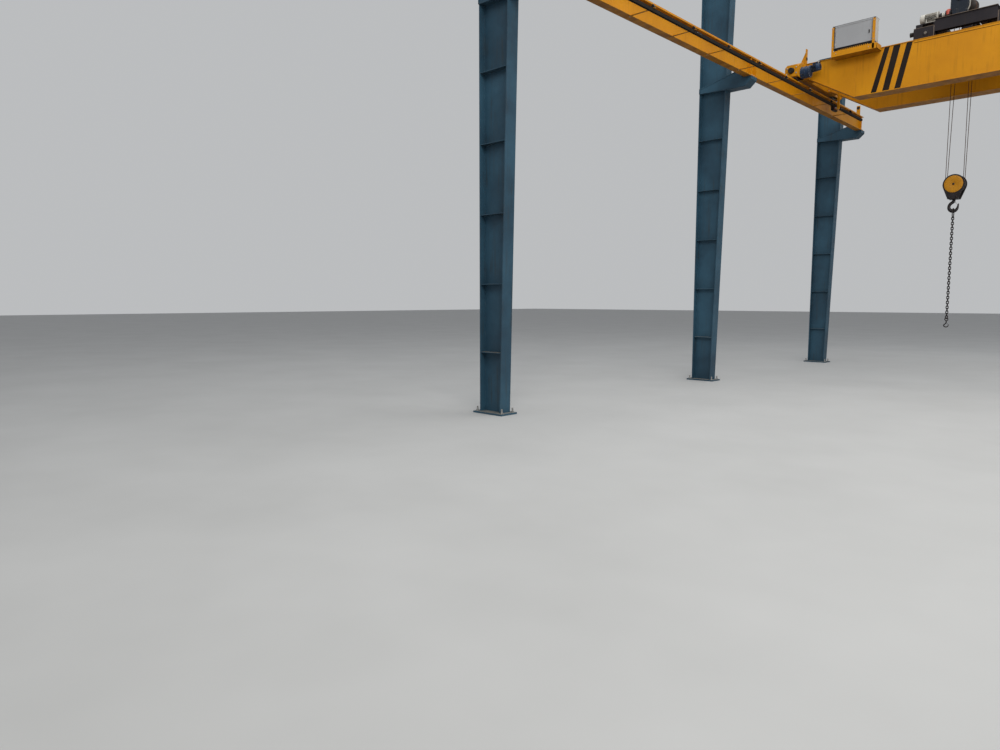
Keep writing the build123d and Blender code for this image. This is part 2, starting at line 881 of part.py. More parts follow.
with BuildPart() as crab_frame:
    for girder_y in girder_ys.values():
        with BuildSketch(Plane.YZ.offset(crab_left)):
            with Locations((girder_y, crab_side_middle)):
                Rectangle(crab_side_width, crab_side_top - crab_side_bottom)
            with Locations((girder_y, crab_side_top - crab_side_plate / 2)):
                Rectangle(crab_side_width + 2 * crab_side_lip, crab_side_plate)
            with Locations((girder_y, crab_side_middle - crab_side_plate)):
                Rectangle(crab_side_gap, crab_side_top - crab_side_bottom, mode=Mode.SUBTRACT)
        extrude(amount=crab_length)
        for end_x, end in ((crab_left, -1), (crab_right, 1)):
            with BuildSketch(Plane.YZ.offset(end_x)):
                with Locations((girder_y, crab_side_middle)):
                    Rectangle(crab_side_width, crab_side_top - crab_side_bottom)
            extrude(amount=-end * crab_side_plate)
            with BuildSketch(Plane.YZ.offset(end_x - end * crab_box_length)):
                with Locations((girder_y, crab_side_middle)):
                    Rectangle(crab_side_width, crab_side_top - crab_side_bottom)
            extrude(amount=end * crab_side_plate)
            with BuildSketch(Plane.XY.offset(crab_box_top)):
                with Locations((end_x - end * crab_box_length / 2, girder_y)):
                    Rectangle(crab_box_length, crab_side_width + 2 * crab_side_lip)
            extrude(amount=crab_side_top - crab_box_top, mode=Mode.SUBTRACT)
            with BuildSketch(Plane.XY.offset(crab_box_top)):
                with Locations((end_x - end * crab_box_length / 2, girder_y)):
                    Rectangle(crab_box_length, crab_side_width)
            extrude(amount=-crab_side_plate)
            with BuildSketch(Plane.YZ.offset(end_x)):
                with Locations((girder_y, crab_buffer_z)):
                    RegularPolygon(crab_buffer_radius, round_sides)
            extrude(amount=end * crab_buffer_length)
        with BuildSketch(Plane.XY.offset(crab_side_bottom)):
            with Locations((crab_centre_x, girder_y)):
                Rectangle(crab_length - 2 * crab_box_length, crab_side_width)
        extrude(amount=crab_middle_bottom - crab_side_bottom, mode=Mode.SUBTRACT)
        for crab_wheel_x in crab_wheel_xs:
            with BuildSketch(Plane.XZ.offset(-girder_y)):
                with Locations((crab_wheel_x, crab_wheel_axle_z)):
                    Circle(crab_axle_radius + running_gap)
            extrude(amount=crab_side_gap, both=True, mode=Mode.SUBTRACT)
        with BuildSketch(Plane.YZ.offset(crab_left)):
            with Locations((girder_y, crab_rail_top)):
                Rectangle(crab_side_gap, 2 * crab_rail_clear)
        extrude(amount=crab_length, mode=Mode.SUBTRACT)
    for beam_x in crab_beam_xs:
        depth = crab_beam_depth if abs(beam_x - hook_x) <= crab_beam_offset else crab_end_beam_depth
        with BuildSketch(Plane.XZ.offset(-crab_inner_near)):
            with Locations((beam_x, crab_deck_top - depth / 2)):
                Rectangle(crab_beam_width, depth)
        extrude(amount=-(crab_inner_far - crab_inner_near))
    with BuildSketch(Plane.XY.offset(crab_deck_top - crab_deck)):
        with Locations((crab_centre_x, crane_y)):
            Rectangle(crab_length, crab_inner_far - crab_inner_near)
        with Locations((hook_x, crane_y)):
            Rectangle(crab_deck_opening_x, crab_deck_opening_y, mode=Mode.SUBTRACT)
    extrude(amount=crab_deck)
save(crab_frame.part, "crab_frame")


def make_wheelset(label, x):
    """Two flanged crab wheels on one through axle."""
    half = crab_wheel_tread / 2
    reach = girder_gauge / 2 + crab_side_width / 2 + crab_axle_reach
    with BuildPart() as wheelset:
        with BuildSketch(Plane.XZ.offset(-crane_y)):
            with Locations((x, crab_wheel_axle_z)):
                Circle(crab_axle_radius)
        extrude(amount=reach, both=True)
        for girder_y in girder_ys.values():
            for centre_offset, width, radius in (
                (0, crab_wheel_tread, crab_wheel_radius),
                (-half - crab_wheel_flange / 2, crab_wheel_flange, crab_wheel_flange_radius),
                (half + crab_wheel_flange / 2, crab_wheel_flange, crab_wheel_flange_radius),
            ):
                with BuildSketch(Plane.XZ.offset(-girder_y - centre_offset)):
                    with Locations((x, crab_wheel_axle_z)):
                        RegularPolygon(radius, round_sides)
                extrude(amount=width / 2, both=True)
    save(wheelset.part, label)


for name, crab_wheel_x in zip(("left", "right"), crab_wheel_xs):
    make_wheelset(f"crab_wheelset_{name}", crab_wheel_x)

drum_near = crane_y - drum_length / 2
drum_far = crane_y + drum_length / 2
with BuildPart() as drum:
    with BuildSketch(Plane.XZ.offset(-crane_y)):
        with Locations((hook_x, drum_z)):
            RegularPolygon(drum_radius, round_sides)
    extrude(amount=drum_length / 2, both=True)
    for end in (-1, 1):
        with BuildSketch(Plane.XZ.offset(-crane_y - end * drum_length / 2)):
            with Locations((hook_x, drum_z)):
                RegularPolygon(drum_flange_radius, round_sides)
        extrude(amount=end * drum_flange)
    with BuildSketch(Plane.XZ.offset(-crane_y)):
        with Locations((hook_x, drum_z)):
            Circle(drum_shaft_radius)
    extrude(amount=drum_length / 2 + drum_shaft_reach, both=True)
save(drum.part, "rope_drum")

gearbox_far = drum_near - gearbox_gap
gearbox_near = gearbox_far - gearbox_depth
machine_y = (gearbox_near + gearbox_far) / 2
worm_z = drum_z - worm_drop
with BuildPart() as gearbox:
    with BuildSketch(Plane.XZ.offset(-machine_y)):
        with Locations((hook_x, drum_z)):
            RegularPolygon(gearbox_radius, round_sides)
        with Locations((hook_x, (drum_z + worm_z) / 2)):
            Rectangle(gearbox_neck, drum_z - worm_z)
    extrude(amount=gearbox_depth / 2, both=True)
    with BuildSketch(Plane.XZ.offset(-machine_y)):
        with Locations((hook_x, drum_z)):
            RegularPolygon(gearbox_radius + gearbox_rim, round_sides)
    extrude(amount=gearbox_rim_depth / 2, both=True)
    with BuildSketch(Plane.XZ.offset(-gearbox_near)):
        with Locations((hook_x, drum_z)):
            RegularPolygon(gearbox_hub_radius, small_round_sides)
    extrude(amount=gearbox_rim)
    with BuildSketch(Plane.XZ.offset(-gearbox_far)):
        with Locations((hook_x, drum_z)):
            Circle(drum_shaft_radius + running_gap)
    extrude(amount=gearbox_depth - gearbox_blind, mode=Mode.SUBTRACT)
    with BuildSketch(Plane.YZ.offset(hook_x)):
        with Locations((machine_y, worm_z)):
            RegularPolygon(worm_radius, small_round_sides)
    extrude(amount=worm_half_length, both=True)
    with BuildSketch(Plane.YZ.offset(hook_x)):
        with Locations((machine_y, worm_z)):
            RegularPolygon(worm_cap_radius, small_round_sides)
    extrude(amount=worm_half_length + worm_cap, both=True)
    with BuildSketch(Plane.XY.offset(crab_deck_top)):
        with Locations((hook_x, machine_y)):
            Rectangle(2 * worm_half_length, gearbox_depth)
    extrude(amount=worm_z - crab_deck_top)
save(gearbox.part, "hoist_gearbox")

shaft_right = hook_x - worm_half_length - worm_cap - seat_gap
brake_x = shaft_right - brake_gap - brake_width / 2
coupling_x = brake_x - brake_width / 2 - coupling_length / 2
motor_front = coupling_x - coupling_length / 2 - seat_gap
with BuildPart() as brake:
    with BuildSketch(Plane.YZ.offset(shaft_right)):
        with Locations((machine_y, worm_z)):
            RegularPolygon(worm_shaft_radius, small_round_sides)
    extrude(amount=coupling_x - shaft_right)
    with BuildSketch(Plane.YZ.offset(coupling_x)):
        with Locations((machine_y, worm_z)):
            RegularPolygon(coupling_radius, small_round_sides)
    extrude(amount=coupling_length / 2, both=True)
    with BuildSketch(Plane.YZ.offset(brake_x)):
        with Locations((machine_y, worm_z)):
            RegularPolygon(brake_radius, round_sides)
    extrude(amount=brake_width / 2, both=True)
    for arm in (-1, 1):
        with BuildSketch(Plane.XY.offset(worm_z - brake_shoe_height / 2)):
            with Locations((brake_x, machine_y + arm * brake_radius)):
                Rectangle(brake_width, 2 * brake_shoe)
        extrude(amount=brake_shoe_height)
        with BuildSketch(Plane.XY.offset(crab_deck_top)):
            with Locations((brake_x, machine_y + arm * (brake_radius + brake_shoe))):
                Rectangle(brake_arm_width, brake_shoe)
        extrude(amount=worm_z - crab_deck_top + brake_arm_rise)
    with BuildSketch(Plane.XY.offset(worm_z + brake_arm_rise - brake_shoe)):
        with Locations((brake_x, machine_y)):
            Rectangle(brake_shoe, 2 * (brake_radius + brake_shoe))
    extrude(amount=brake_shoe)
    with BuildSketch(Plane.XY.offset(crab_deck_top)):
        with Locations((brake_x, machine_y)):
            Rectangle(brake_width, brake_base)
    extrude(amount=brake_plate)
save(brake.part, "hoist_brake")

with BuildPart() as motor:
    add(
        finned_motor(
            Plane(origin=(motor_front, machine_y, worm_z), x_dir=(0, -1, 0), z_dir=(-1, 0, 0)),
            motor_radius,
            motor_length,
            motor_cap_length,
        )
    )
    with BuildSketch(Plane.XY.offset(crab_deck_top)):
        with Locations((motor_front - motor_length / 2, machine_y)):
            Rectangle(motor_length - 2 * motor_flange, motor_foot_width)
    extrude(amount=motor_foot)
    with BuildSketch(Plane.XY.offset(crab_deck_top)):
        with Locations((motor_front - motor_length / 2, machine_y)):
            Rectangle(motor_length - 4 * motor_flange, motor_saddle_width)
    extrude(amount=worm_z - crab_deck_top)
save(motor.part, "hoist_motor")

pedestal_y = drum_far + pedestal_gap
with BuildPart() as pedestal:
    with BuildSketch(Plane.XZ.offset(-pedestal_y)):
        with BuildLine():
            Polyline(
                (hook_x - pedestal_spread, crab_deck_top),
                (hook_x + pedestal_spread, crab_deck_top),
                (hook_x + pedestal_head, drum_z + pedestal_head),
                (hook_x - pedestal_head, drum_z + pedestal_head),
                close=True,
            )
        make_face()
        with Locations((hook_x, drum_z)):
            Circle(drum_shaft_radius + running_gap, mode=Mode.SUBTRACT)
    extrude(amount=-pedestal_depth)
    with BuildSketch(Plane.XY.offset(crab_deck_top)):
        with Locations((hook_x, pedestal_y + pedestal_depth / 2)):
            Rectangle(pedestal_foot_length, pedestal_foot)
    extrude(amount=pedestal_plate)
save(pedestal.part, "drum_pedestal")

equaliser_x = hook_x + sheave_radius
equaliser_bottom = crab_deck_top - equaliser_drop
with BuildPart() as equaliser:
    with BuildSketch(Plane.XY.offset(crab_deck_top)):
        with Locations((equaliser_x, crane_y)):
            Rectangle(equaliser_plate_length, equaliser_plate_width)
    extrude(amount=equaliser_plate)
    with BuildSketch(Plane.XY.offset(equaliser_bottom)):
        with Locations((equaliser_x, crane_y)):
            Rectangle(equaliser_bar, equaliser_length)
    extrude(amount=equaliser_drop)
save(equaliser.part, "rope_equaliser")

crab_drive_x = crab_wheel_xs[1]
crab_drive_far = crab_inner_far - seat_gap
crab_motor_z = crab_wheel_axle_z + crab_drive_offset
with BuildPart() as crab_drive:
    with BuildSketch(Plane.XZ.offset(-crab_drive_far)):
        with Locations((crab_drive_x, crab_wheel_axle_z)):
            RegularPolygon(crab_drive_radius, round_sides)
        with Locations((crab_drive_x, (crab_wheel_axle_z + crab_motor_z) / 2)):
            Rectangle(2 * crab_drive_neck, crab_drive_offset)
        with Locations((crab_drive_x, crab_motor_z)):
            RegularPolygon(crab_drive_neck, round_sides)
        with Locations((crab_drive_x, crab_wheel_axle_z)):
            Circle(crab_axle_radius + running_gap, mode=Mode.SUBTRACT)
    extrude(amount=crab_drive_width)
    add(
        finned_motor(
            Plane(
                origin=(crab_drive_x, crab_drive_far - crab_drive_width, crab_motor_z),
                x_dir=(0, 0, 1),
                z_dir=(0, -1, 0),
            ),
            crab_motor_radius,
            crab_motor_length,
            crab_motor_cap_length,
        )
    )
save(crab_drive.part, "crab_drive")


def make_ropes(label, top_x, top_spread, top_z, low_x):
    """The two falls of rope on one side of the block, spread wider at the top."""
    with BuildPart() as ropes:
        for end in (-1, 1):
            with BuildLine() as fall:
                Line(
                    (low_x, crane_y + end * sheave_spacing / 2, block_z),
                    (top_x, crane_y + end * top_spread / 2, top_z),
                )
            with BuildSketch(Plane(origin=fall.line @ 0, x_dir=(1, 0, 0), z_dir=fall.line % 0)):
                RegularPolygon(rope_radius, rope_sides)
            sweep(path=fall.line)
    save(ropes.part, label)


drum_rope_x = hook_x - drum_radius - rope_radius - seat_gap
equaliser_rope_top = equaliser_bottom - 2 * seat_gap
make_ropes("drum_ropes", drum_rope_x, drum_rope_spread, drum_z, hook_x - sheave_radius)
make_ropes("equaliser_ropes", equaliser_x, equaliser_rope_spread, equaliser_rope_top, equaliser_x)

plate_inner = sheave_spacing / 2 + sheave_width / 2 + block_side_gap
with BuildPart() as sheaves:
    for offset in (-sheave_spacing / 2, sheave_spacing / 2):
        with BuildSketch(Plane.XZ.offset(-crane_y - offset)):
            with Locations((hook_x, block_z)):
                RegularPolygon(sheave_radius - rope_radius - seat_gap, round_sides)
        extrude(amount=sheave_width / 2, both=True)
        for rim in (-1, 1):
            with BuildSketch(Plane.XZ.offset(-crane_y - offset - rim * sheave_width / 2)):
                with Locations((hook_x, block_z)):
                    RegularPolygon(sheave_rim_radius, round_sides)
            extrude(amount=rim * sheave_rim)
    with BuildSketch(Plane.XZ.offset(-crane_y)):
        with Locations((hook_x, block_z)):
            RegularPolygon(block_pin_radius, small_round_sides)
    extrude(amount=plate_inner, both=True)
save(sheaves.part, "block_sheaves")

crosshead_top = block_bottom_z + crosshead_height
with BuildPart() as block:
    for side in (-1, 1):
        with BuildSketch(Plane.XZ.offset(-crane_y - side * plate_inner)):
            with BuildLine():
                Polyline(
                    (hook_x - block_plate_bottom, block_bottom_z),
                    (hook_x + block_plate_bottom, block_bottom_z),
                    (hook_x + block_plate_top, block_z),
                    (hook_x + block_plate_top, block_z + block_plate_corner),
                    (hook_x + block_plate_corner, block_z + block_plate_top),
                    (hook_x - block_plate_corner, block_z + block_plate_top),
                    (hook_x - block_plate_top, block_z + block_plate_corner),
                    (hook_x - block_plate_top, block_z),
                    close=True,
                )
            make_face()
        extrude(amount=-side * block_plate)
        with BuildSketch(Plane.XZ.offset(-crane_y - side * (plate_inner + block_plate))):
            with Locations((hook_x, block_z)):
                RegularPolygon(cover_radius, round_sides)
        extrude(amount=-side * cover_thickness)
    with BuildSketch(Plane.XY.offset(block_bottom_z)):
        with Locations((hook_x, crane_y)):
            Rectangle(crosshead_length, 2 * plate_inner)
            Circle(hook_shank_radius + running_gap, mode=Mode.SUBTRACT)
    extrude(amount=crosshead_height)
save(block.part, "hook_block_frame")

neck_z = hook_bowl_z + hook_neck_z
with BuildPart() as hook:
    with BuildSketch(Plane.XZ.offset(-crane_y)):
        with BuildLine():
            Polyline(
                (hook_x - hook_shank_radius, neck_z),
                *arc_points((hook_x, hook_bowl_z), hook_back, 150, 240, hook_step),
                *arc_points((hook_x, hook_bowl_z), hook_belly, 255, 285, hook_step),
                *arc_points((hook_x, hook_bowl_z), hook_back, 300, 345, hook_step),
                (hook_x + hook_tip_x, hook_bowl_z + hook_tip_z),
                (hook_x + hook_tip_x - hook_tip_width, hook_bowl_z + hook_tip_z),
                *arc_points((hook_x, hook_bowl_z), hook_inner_radius, 375, 105, hook_step),
                (hook_x + hook_shank_radius, neck_z),
                close=True,
            )
        make_face()
    extrude(amount=hook_thickness / 2, both=True)
    with BuildSketch(Plane.XY.offset(neck_z - hook_shank_radius)):
        with Locations((hook_x, crane_y)):
            Circle(hook_shank_radius)
    extrude(amount=crosshead_top + hook_nut_height - neck_z + hook_shank_radius)
    with BuildSketch(Plane.XY.offset(crosshead_top + seat_gap)):
        with Locations((hook_x, crane_y)):
            RegularPolygon(hook_nut_radius, 6)
    extrude(amount=hook_nut_height)
save(hook.part, "hook")


def make_ring(inner_length, inner_width, wire):
    """One upright oval ring in the XZ plane, centred on the origin."""
    with BuildPart() as ring:
        with BuildSketch(Plane.XZ):
            SlotOverall(inner_length + 2 * wire, inner_width + 2 * wire, rotation=90)
            SlotOverall(inner_length, inner_width, rotation=90, mode=Mode.SUBTRACT)
        extrude(amount=wire / 2, both=True)
    return ring.part


def make_link():
    """One upright chain link in the XZ plane, centred on the origin."""
    with BuildPart() as link:
        with BuildSketch(Plane.XZ):
            outline = Rectangle(chain_inner_width + 2 * chain_wire, chain_pitch + 2 * chain_wire)
            chamfer(outline.vertices(), chain_corner)
            Rectangle(chain_inner_width, chain_pitch, mode=Mode.SUBTRACT)
        extrude(amount=chain_wire / 2, both=True)
    return link.part


def arch_drop(radius, half_width):
    """How far a round arch has fallen at half_width to the side of its crown."""
    return radius - sqrt(radius**2 - half_width**2)


chain_step = chain_pitch - seat_gap
master_z = (
    hook_bowl_z
    - hook_inner_radius
    + arch_drop(hook_inner_radius, master_wire / 2)
    + arch_drop(master_width / 2, hook_thickness / 2)
    + seat_gap
    - master_length / 2
)
first_link_z = (
    master_z - master_length / 2 + arch_drop(master_width / 2, chain_wire / 2) + seat_gap - chain_pitch / 2
)
last_link_z = first_link_z - (chain_links - 1) * chain_step
end_hook_z = (
    last_link_z - chain_pitch / 2 + seat_gap - end_eye_radius + arch_drop(end_eye_radius, chain_wire / 2)
)
with BuildPart() as chain:
    with Locations(Location((hook_x, crane_y, master_z), (0, 0, 90))):
        add(make_ring(master_length, master_width, master_wire))
    one_link = make_link()
    with Locations(
        *[
            Location((hook_x, crane_y, first_link_z - number * chain_step), (0, 0, 90 * (number % 2)))
            for number in range(chain_links)
        ]
    ):
        add(one_link)
    with BuildSketch(Plane.XZ.offset(-crane_y)):
        with Locations((hook_x, end_hook_z)):
            RegularPolygon(end_eye_radius + chain_wire, small_round_sides)
            RegularPolygon(end_eye_radius, small_round_sides, mode=Mode.SUBTRACT)
        with Locations((hook_x, end_hook_z - end_eye_radius - end_shank / 2)):
            Rectangle(end_shank_width, end_shank)
        bowl_z = end_hook_z - end_eye_radius - end_shank - end_bowl_radius
        with BuildLine():
            Polyline(
                *arc_points((hook_x, bowl_z), end_bowl_radius + end_bowl_wall, 75, 390, hook_step),
                *arc_points((hook_x, bowl_z), end_bowl_radius, 390, 75, hook_step),
                close=True,
            )
        make_face()
    extrude(amount=chain_wire / 2, both=True)
save(chain.part, "chain_sling")
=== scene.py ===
import math
import random

import bmesh
import bpy
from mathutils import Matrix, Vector
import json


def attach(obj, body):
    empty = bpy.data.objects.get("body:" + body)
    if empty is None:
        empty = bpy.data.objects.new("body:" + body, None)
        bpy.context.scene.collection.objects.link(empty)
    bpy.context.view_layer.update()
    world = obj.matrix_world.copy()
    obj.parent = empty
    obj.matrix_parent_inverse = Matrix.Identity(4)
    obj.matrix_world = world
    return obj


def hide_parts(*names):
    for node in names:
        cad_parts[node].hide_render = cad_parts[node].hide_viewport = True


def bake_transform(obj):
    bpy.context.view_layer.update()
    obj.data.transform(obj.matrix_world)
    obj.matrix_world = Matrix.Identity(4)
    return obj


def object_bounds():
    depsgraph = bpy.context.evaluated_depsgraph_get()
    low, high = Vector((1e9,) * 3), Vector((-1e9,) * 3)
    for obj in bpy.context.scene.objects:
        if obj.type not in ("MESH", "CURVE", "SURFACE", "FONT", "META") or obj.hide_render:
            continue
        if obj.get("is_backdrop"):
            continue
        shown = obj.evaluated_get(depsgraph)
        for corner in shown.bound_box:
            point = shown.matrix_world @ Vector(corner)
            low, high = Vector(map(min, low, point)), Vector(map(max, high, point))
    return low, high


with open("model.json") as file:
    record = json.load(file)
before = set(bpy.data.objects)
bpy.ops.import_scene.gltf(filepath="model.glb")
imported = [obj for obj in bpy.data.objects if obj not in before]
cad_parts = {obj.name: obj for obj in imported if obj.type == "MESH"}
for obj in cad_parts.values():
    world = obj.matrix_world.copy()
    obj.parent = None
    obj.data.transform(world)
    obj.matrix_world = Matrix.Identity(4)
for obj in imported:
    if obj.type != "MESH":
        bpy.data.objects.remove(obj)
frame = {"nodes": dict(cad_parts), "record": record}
cad_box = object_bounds()
nodes = frame["nodes"]
random.seed(7)

# Places that the pieces share with the CAD nodes, in metres
RAIL_X = 6.0
BRIDGE_Y = 3.1
GIRDER_Y = {"near": 2.45, "far": 3.75}
GIRDER_TOP = 6.45
WEB_OUT = 0.16
WHEEL_Y = {"near": 2.1, "far": 4.1}
AXLE_Z = 6.225
BUFFER_Z = 6.24
CONDUCTOR_X = -5.56
CRAB_X = (-3.93, -2.25)
CRAB_WHEEL_X = {"left": -3.73, "right": -2.45}
CRAB_AXLE_Z = 6.57
CRAB_BUFFER_Z = 6.60
DECK_Z = 6.78
DECK_SKIN_Z = 6.7801  # a tenth of a millimetre over the deck
FOOT_Z = 6.794
MACHINE_Y = 2.685
WORM_Z = 6.905
MOTOR_X = -3.5926
COUPLING_X = -3.5373
BRAKE_X = -3.4323
HOOK_X = -3.25
DRUM_Z = 7.165
BEARING_Y = 3.465
EQUALISER_X = HOOK_X + 0.150
EQUALISER_Z = 6.7194
BLOCK_Z = 3.82
SHEAVE_Y = 0.06
BOWL_Z = 3.4
SIDES = ((-1, "left"), (1, "right"))
X, Y, Z = Vector((1, 0, 0)), Vector((0, 1, 0)), Vector((0, 0, 1))


# Camera, at the photograph's place and lens
camera_data = bpy.data.cameras.new("camera")
camera_data.lens = 26.1
camera_data.sensor_width = 36.0
camera_data.clip_end = 200.0
camera = bpy.data.objects.new("camera", camera_data)
camera.location = (0.37, -13.3, 1.6)
camera.rotation_euler = (math.radians(90 - 5.9), 0.0, math.radians(44.0))
bpy.context.scene.collection.objects.link(camera)
bpy.context.scene.camera = camera


# Materials
class Graph:
    """The node tree of a material or a world, built call by call."""

    def __init__(self, block):
        self.block = block
        block.use_nodes = True
        self.tree = block.node_tree
        self.tree.nodes.clear()

    def add(self, kind, inputs=(), out=0, **settings):
        node = self.tree.nodes.new("ShaderNode" + kind)
        for key, value in settings.items():
            setattr(node, key, value)
        for key, value in dict(inputs).items():
            socket = node.inputs[key]
            if isinstance(value, bpy.types.NodeSocket):
                self.tree.links.new(value, socket)
            else:
                socket.default_value = value
        return node.outputs[out] if node.outputs else node

    def place(self):
        return self.add("TexCoord", out="Object")

    def noise(self, vector, scale, detail=4.0, roughness=0.6):
        inputs = {"Vector": vector, "Scale": scale, "Detail": detail, "Roughness": roughness}
        return self.add("TexNoise", inputs)

    def ramp(self, value, low, high, bottom=0.0, top=1.0):
        inputs = {"Value": value, "From Min": low, "From Max": high, "To Min": bottom, "To Max": top}
        return self.add("MapRange", inputs)

    def math(self, operation, a, b):
        return self.add("Math", {0: a, 1: b}, operation=operation, use_clamp=True)

    def times(self, a, b):
        return self.math("MULTIPLY", a, b)

    def mix(self, factor, a, b):
        inputs = {"Factor": factor, 6: a, 7: b}
        return self.add("Mix", inputs, out=2, data_type="RGBA")

    def facing(self, normal):
        """How far a face looks up, and how far down."""
        height = self.add("SeparateXYZ", {"Vector": normal}, out="Z")
        return self.ramp(height, 0.4, 0.9), self.ramp(height, -0.4, -0.9)

    def worn_edges(self, normal, place, radius, amount):
        """Where the surface's own corners have lost their paint."""
        rounded = self.add("Bevel", {"Radius": radius}, samples=4)
        inputs = {0: rounded, 1: normal}
        facing = self.add("VectorMath", inputs, out="Value", operation="DOT_PRODUCT")
        broken = self.ramp(self.noise(place, 38.0, 3.0), 0.5, 0.62)
        return self.times(self.times(self.ramp(facing, 0.98, 0.86), broken), amount)

    def surface(self, colour, roughness, height, metallic, edge, bump, shine=0.5):
        """The shader itself, with a soft edge and the surface's own relief."""
        rounded = self.add("Bevel", {"Radius": edge}, samples=4)
        relief = self.add("Bump", {
            "Height": height, "Strength": bump, "Distance": 0.002, "Normal": rounded,
        })
        shader = self.add("BsdfPrincipled", {
            "Base Color": colour, "Roughness": roughness, "Normal": relief, "Metallic": metallic,
            "Specular IOR Level": shine,
        })
        self.add("OutputMaterial", {"Surface": shader})
        return self.block


def material_graph(name):
    return Graph(bpy.data.materials.new(name))


def rgb(red, green, blue):
    return (red, green, blue, 1.0)


def paint(name, base, shade, grime_and_shade, streaks, wear, roughness=0.4, dust=0.3, under=0.4, bare=None,
          dust_colour=(0.36, 0.30, 0.22), shine=0.5):
    """Paint with runs and specks of dirt, dust above, dirt and painted shade below, and corners worn to what
    is bare.
    """
    base, shade, grime_and_shade = rgb(*base), rgb(*shade), rgb(*grime_and_shade)
    g = material_graph(name)
    place = g.place()
    normal = g.add("NewGeometry", out="Normal")
    top, bottom = g.facing(normal)
    colour = g.mix(g.ramp(g.noise(place, 1.4, 5.0), 0.34, 0.66), base, shade)
    colour = g.mix(g.ramp(g.noise(place, 23.0), 0.55, 0.8, 0.0, 0.35), colour, shade)
    drawn_out = g.add("Mapping", {"Vector": place, "Scale": (26.0, 26.0, 1.1)})
    patch = g.ramp(g.noise(place, 2.3, 2.0), 0.42, 0.62)
    run = g.times(g.ramp(g.noise(drawn_out, 1.0, 3.0), 0.52, 0.74), patch)
    colour = g.mix(g.times(run, streaks), colour, grime_and_shade)
    specks = g.ramp(g.noise(place, 190.0, 2.0), 0.66, 0.72)
    colour = g.mix(g.times(specks, streaks), colour, grime_and_shade)
    cloudy = g.ramp(g.noise(place, 5.5, 5.0), 0.3, 0.72, 0.45, 1.0)
    # Downward faces darken towards the third colour, as far as under asks: dirt and painted shade on the
    # undersides.
    colour = g.mix(g.times(g.times(bottom, cloudy), under), colour, grime_and_shade)
    colour = g.mix(g.times(g.times(top, cloudy), dust), colour, rgb(*dust_colour))
    colour = g.mix(g.worn_edges(normal, place, 0.006, wear), colour, rgb(*bare) if bare else grime_and_shade)
    dull = g.ramp(g.noise(place, 9.0), 0.3, 0.7, roughness, roughness + 0.2)
    dull = g.math("ADD", dull, g.times(top, 0.25))
    return g.surface(colour, dull, g.noise(place, 240.0, 2.0), 0.0, 0.003, 0.12, shine)


def steel(name, base, shade, rust=(0.10, 0.045, 0.02), roughness=0.42, rusty=0.4, metallic=0.85, scale=14.0):
    """Bare steel with spots of rust."""
    g = material_graph(name)
    place = g.place()
    colour = g.mix(g.ramp(g.noise(place, scale, 5.0), 0.35, 0.65), rgb(*base), rgb(*shade))
    spots = g.ramp(g.noise(place, scale * 2.6, 5.0, 0.7), 0.48, 0.66, 0.0, rusty)
    colour = g.mix(spots, colour, rgb(*rust))
    dull = g.ramp(g.noise(place, scale * 4.0), 0.3, 0.7, roughness, roughness + 0.25)
    return g.surface(colour, dull, g.noise(place, 170.0), metallic, 0.002, 0.25)


def rubber(name, base, shade, dust=0.5):
    """Dull black, with dust on what looks up."""
    g = material_graph(name)
    place = g.place()
    top, bottom = g.facing(g.add("NewGeometry", out="Normal"))
    colour = g.mix(g.ramp(g.noise(place, 30.0), 0.35, 0.7), rgb(*base), rgb(*shade))
    colour = g.mix(g.times(top, dust), colour, rgb(0.2, 0.18, 0.15))
    dull = g.ramp(g.noise(place, 60.0), 0.3, 0.7, 0.6, 0.8)
    return g.surface(colour, dull, g.noise(place, 320.0, 2.0), 0.0, 0.002, 0.3, shine=0.15)


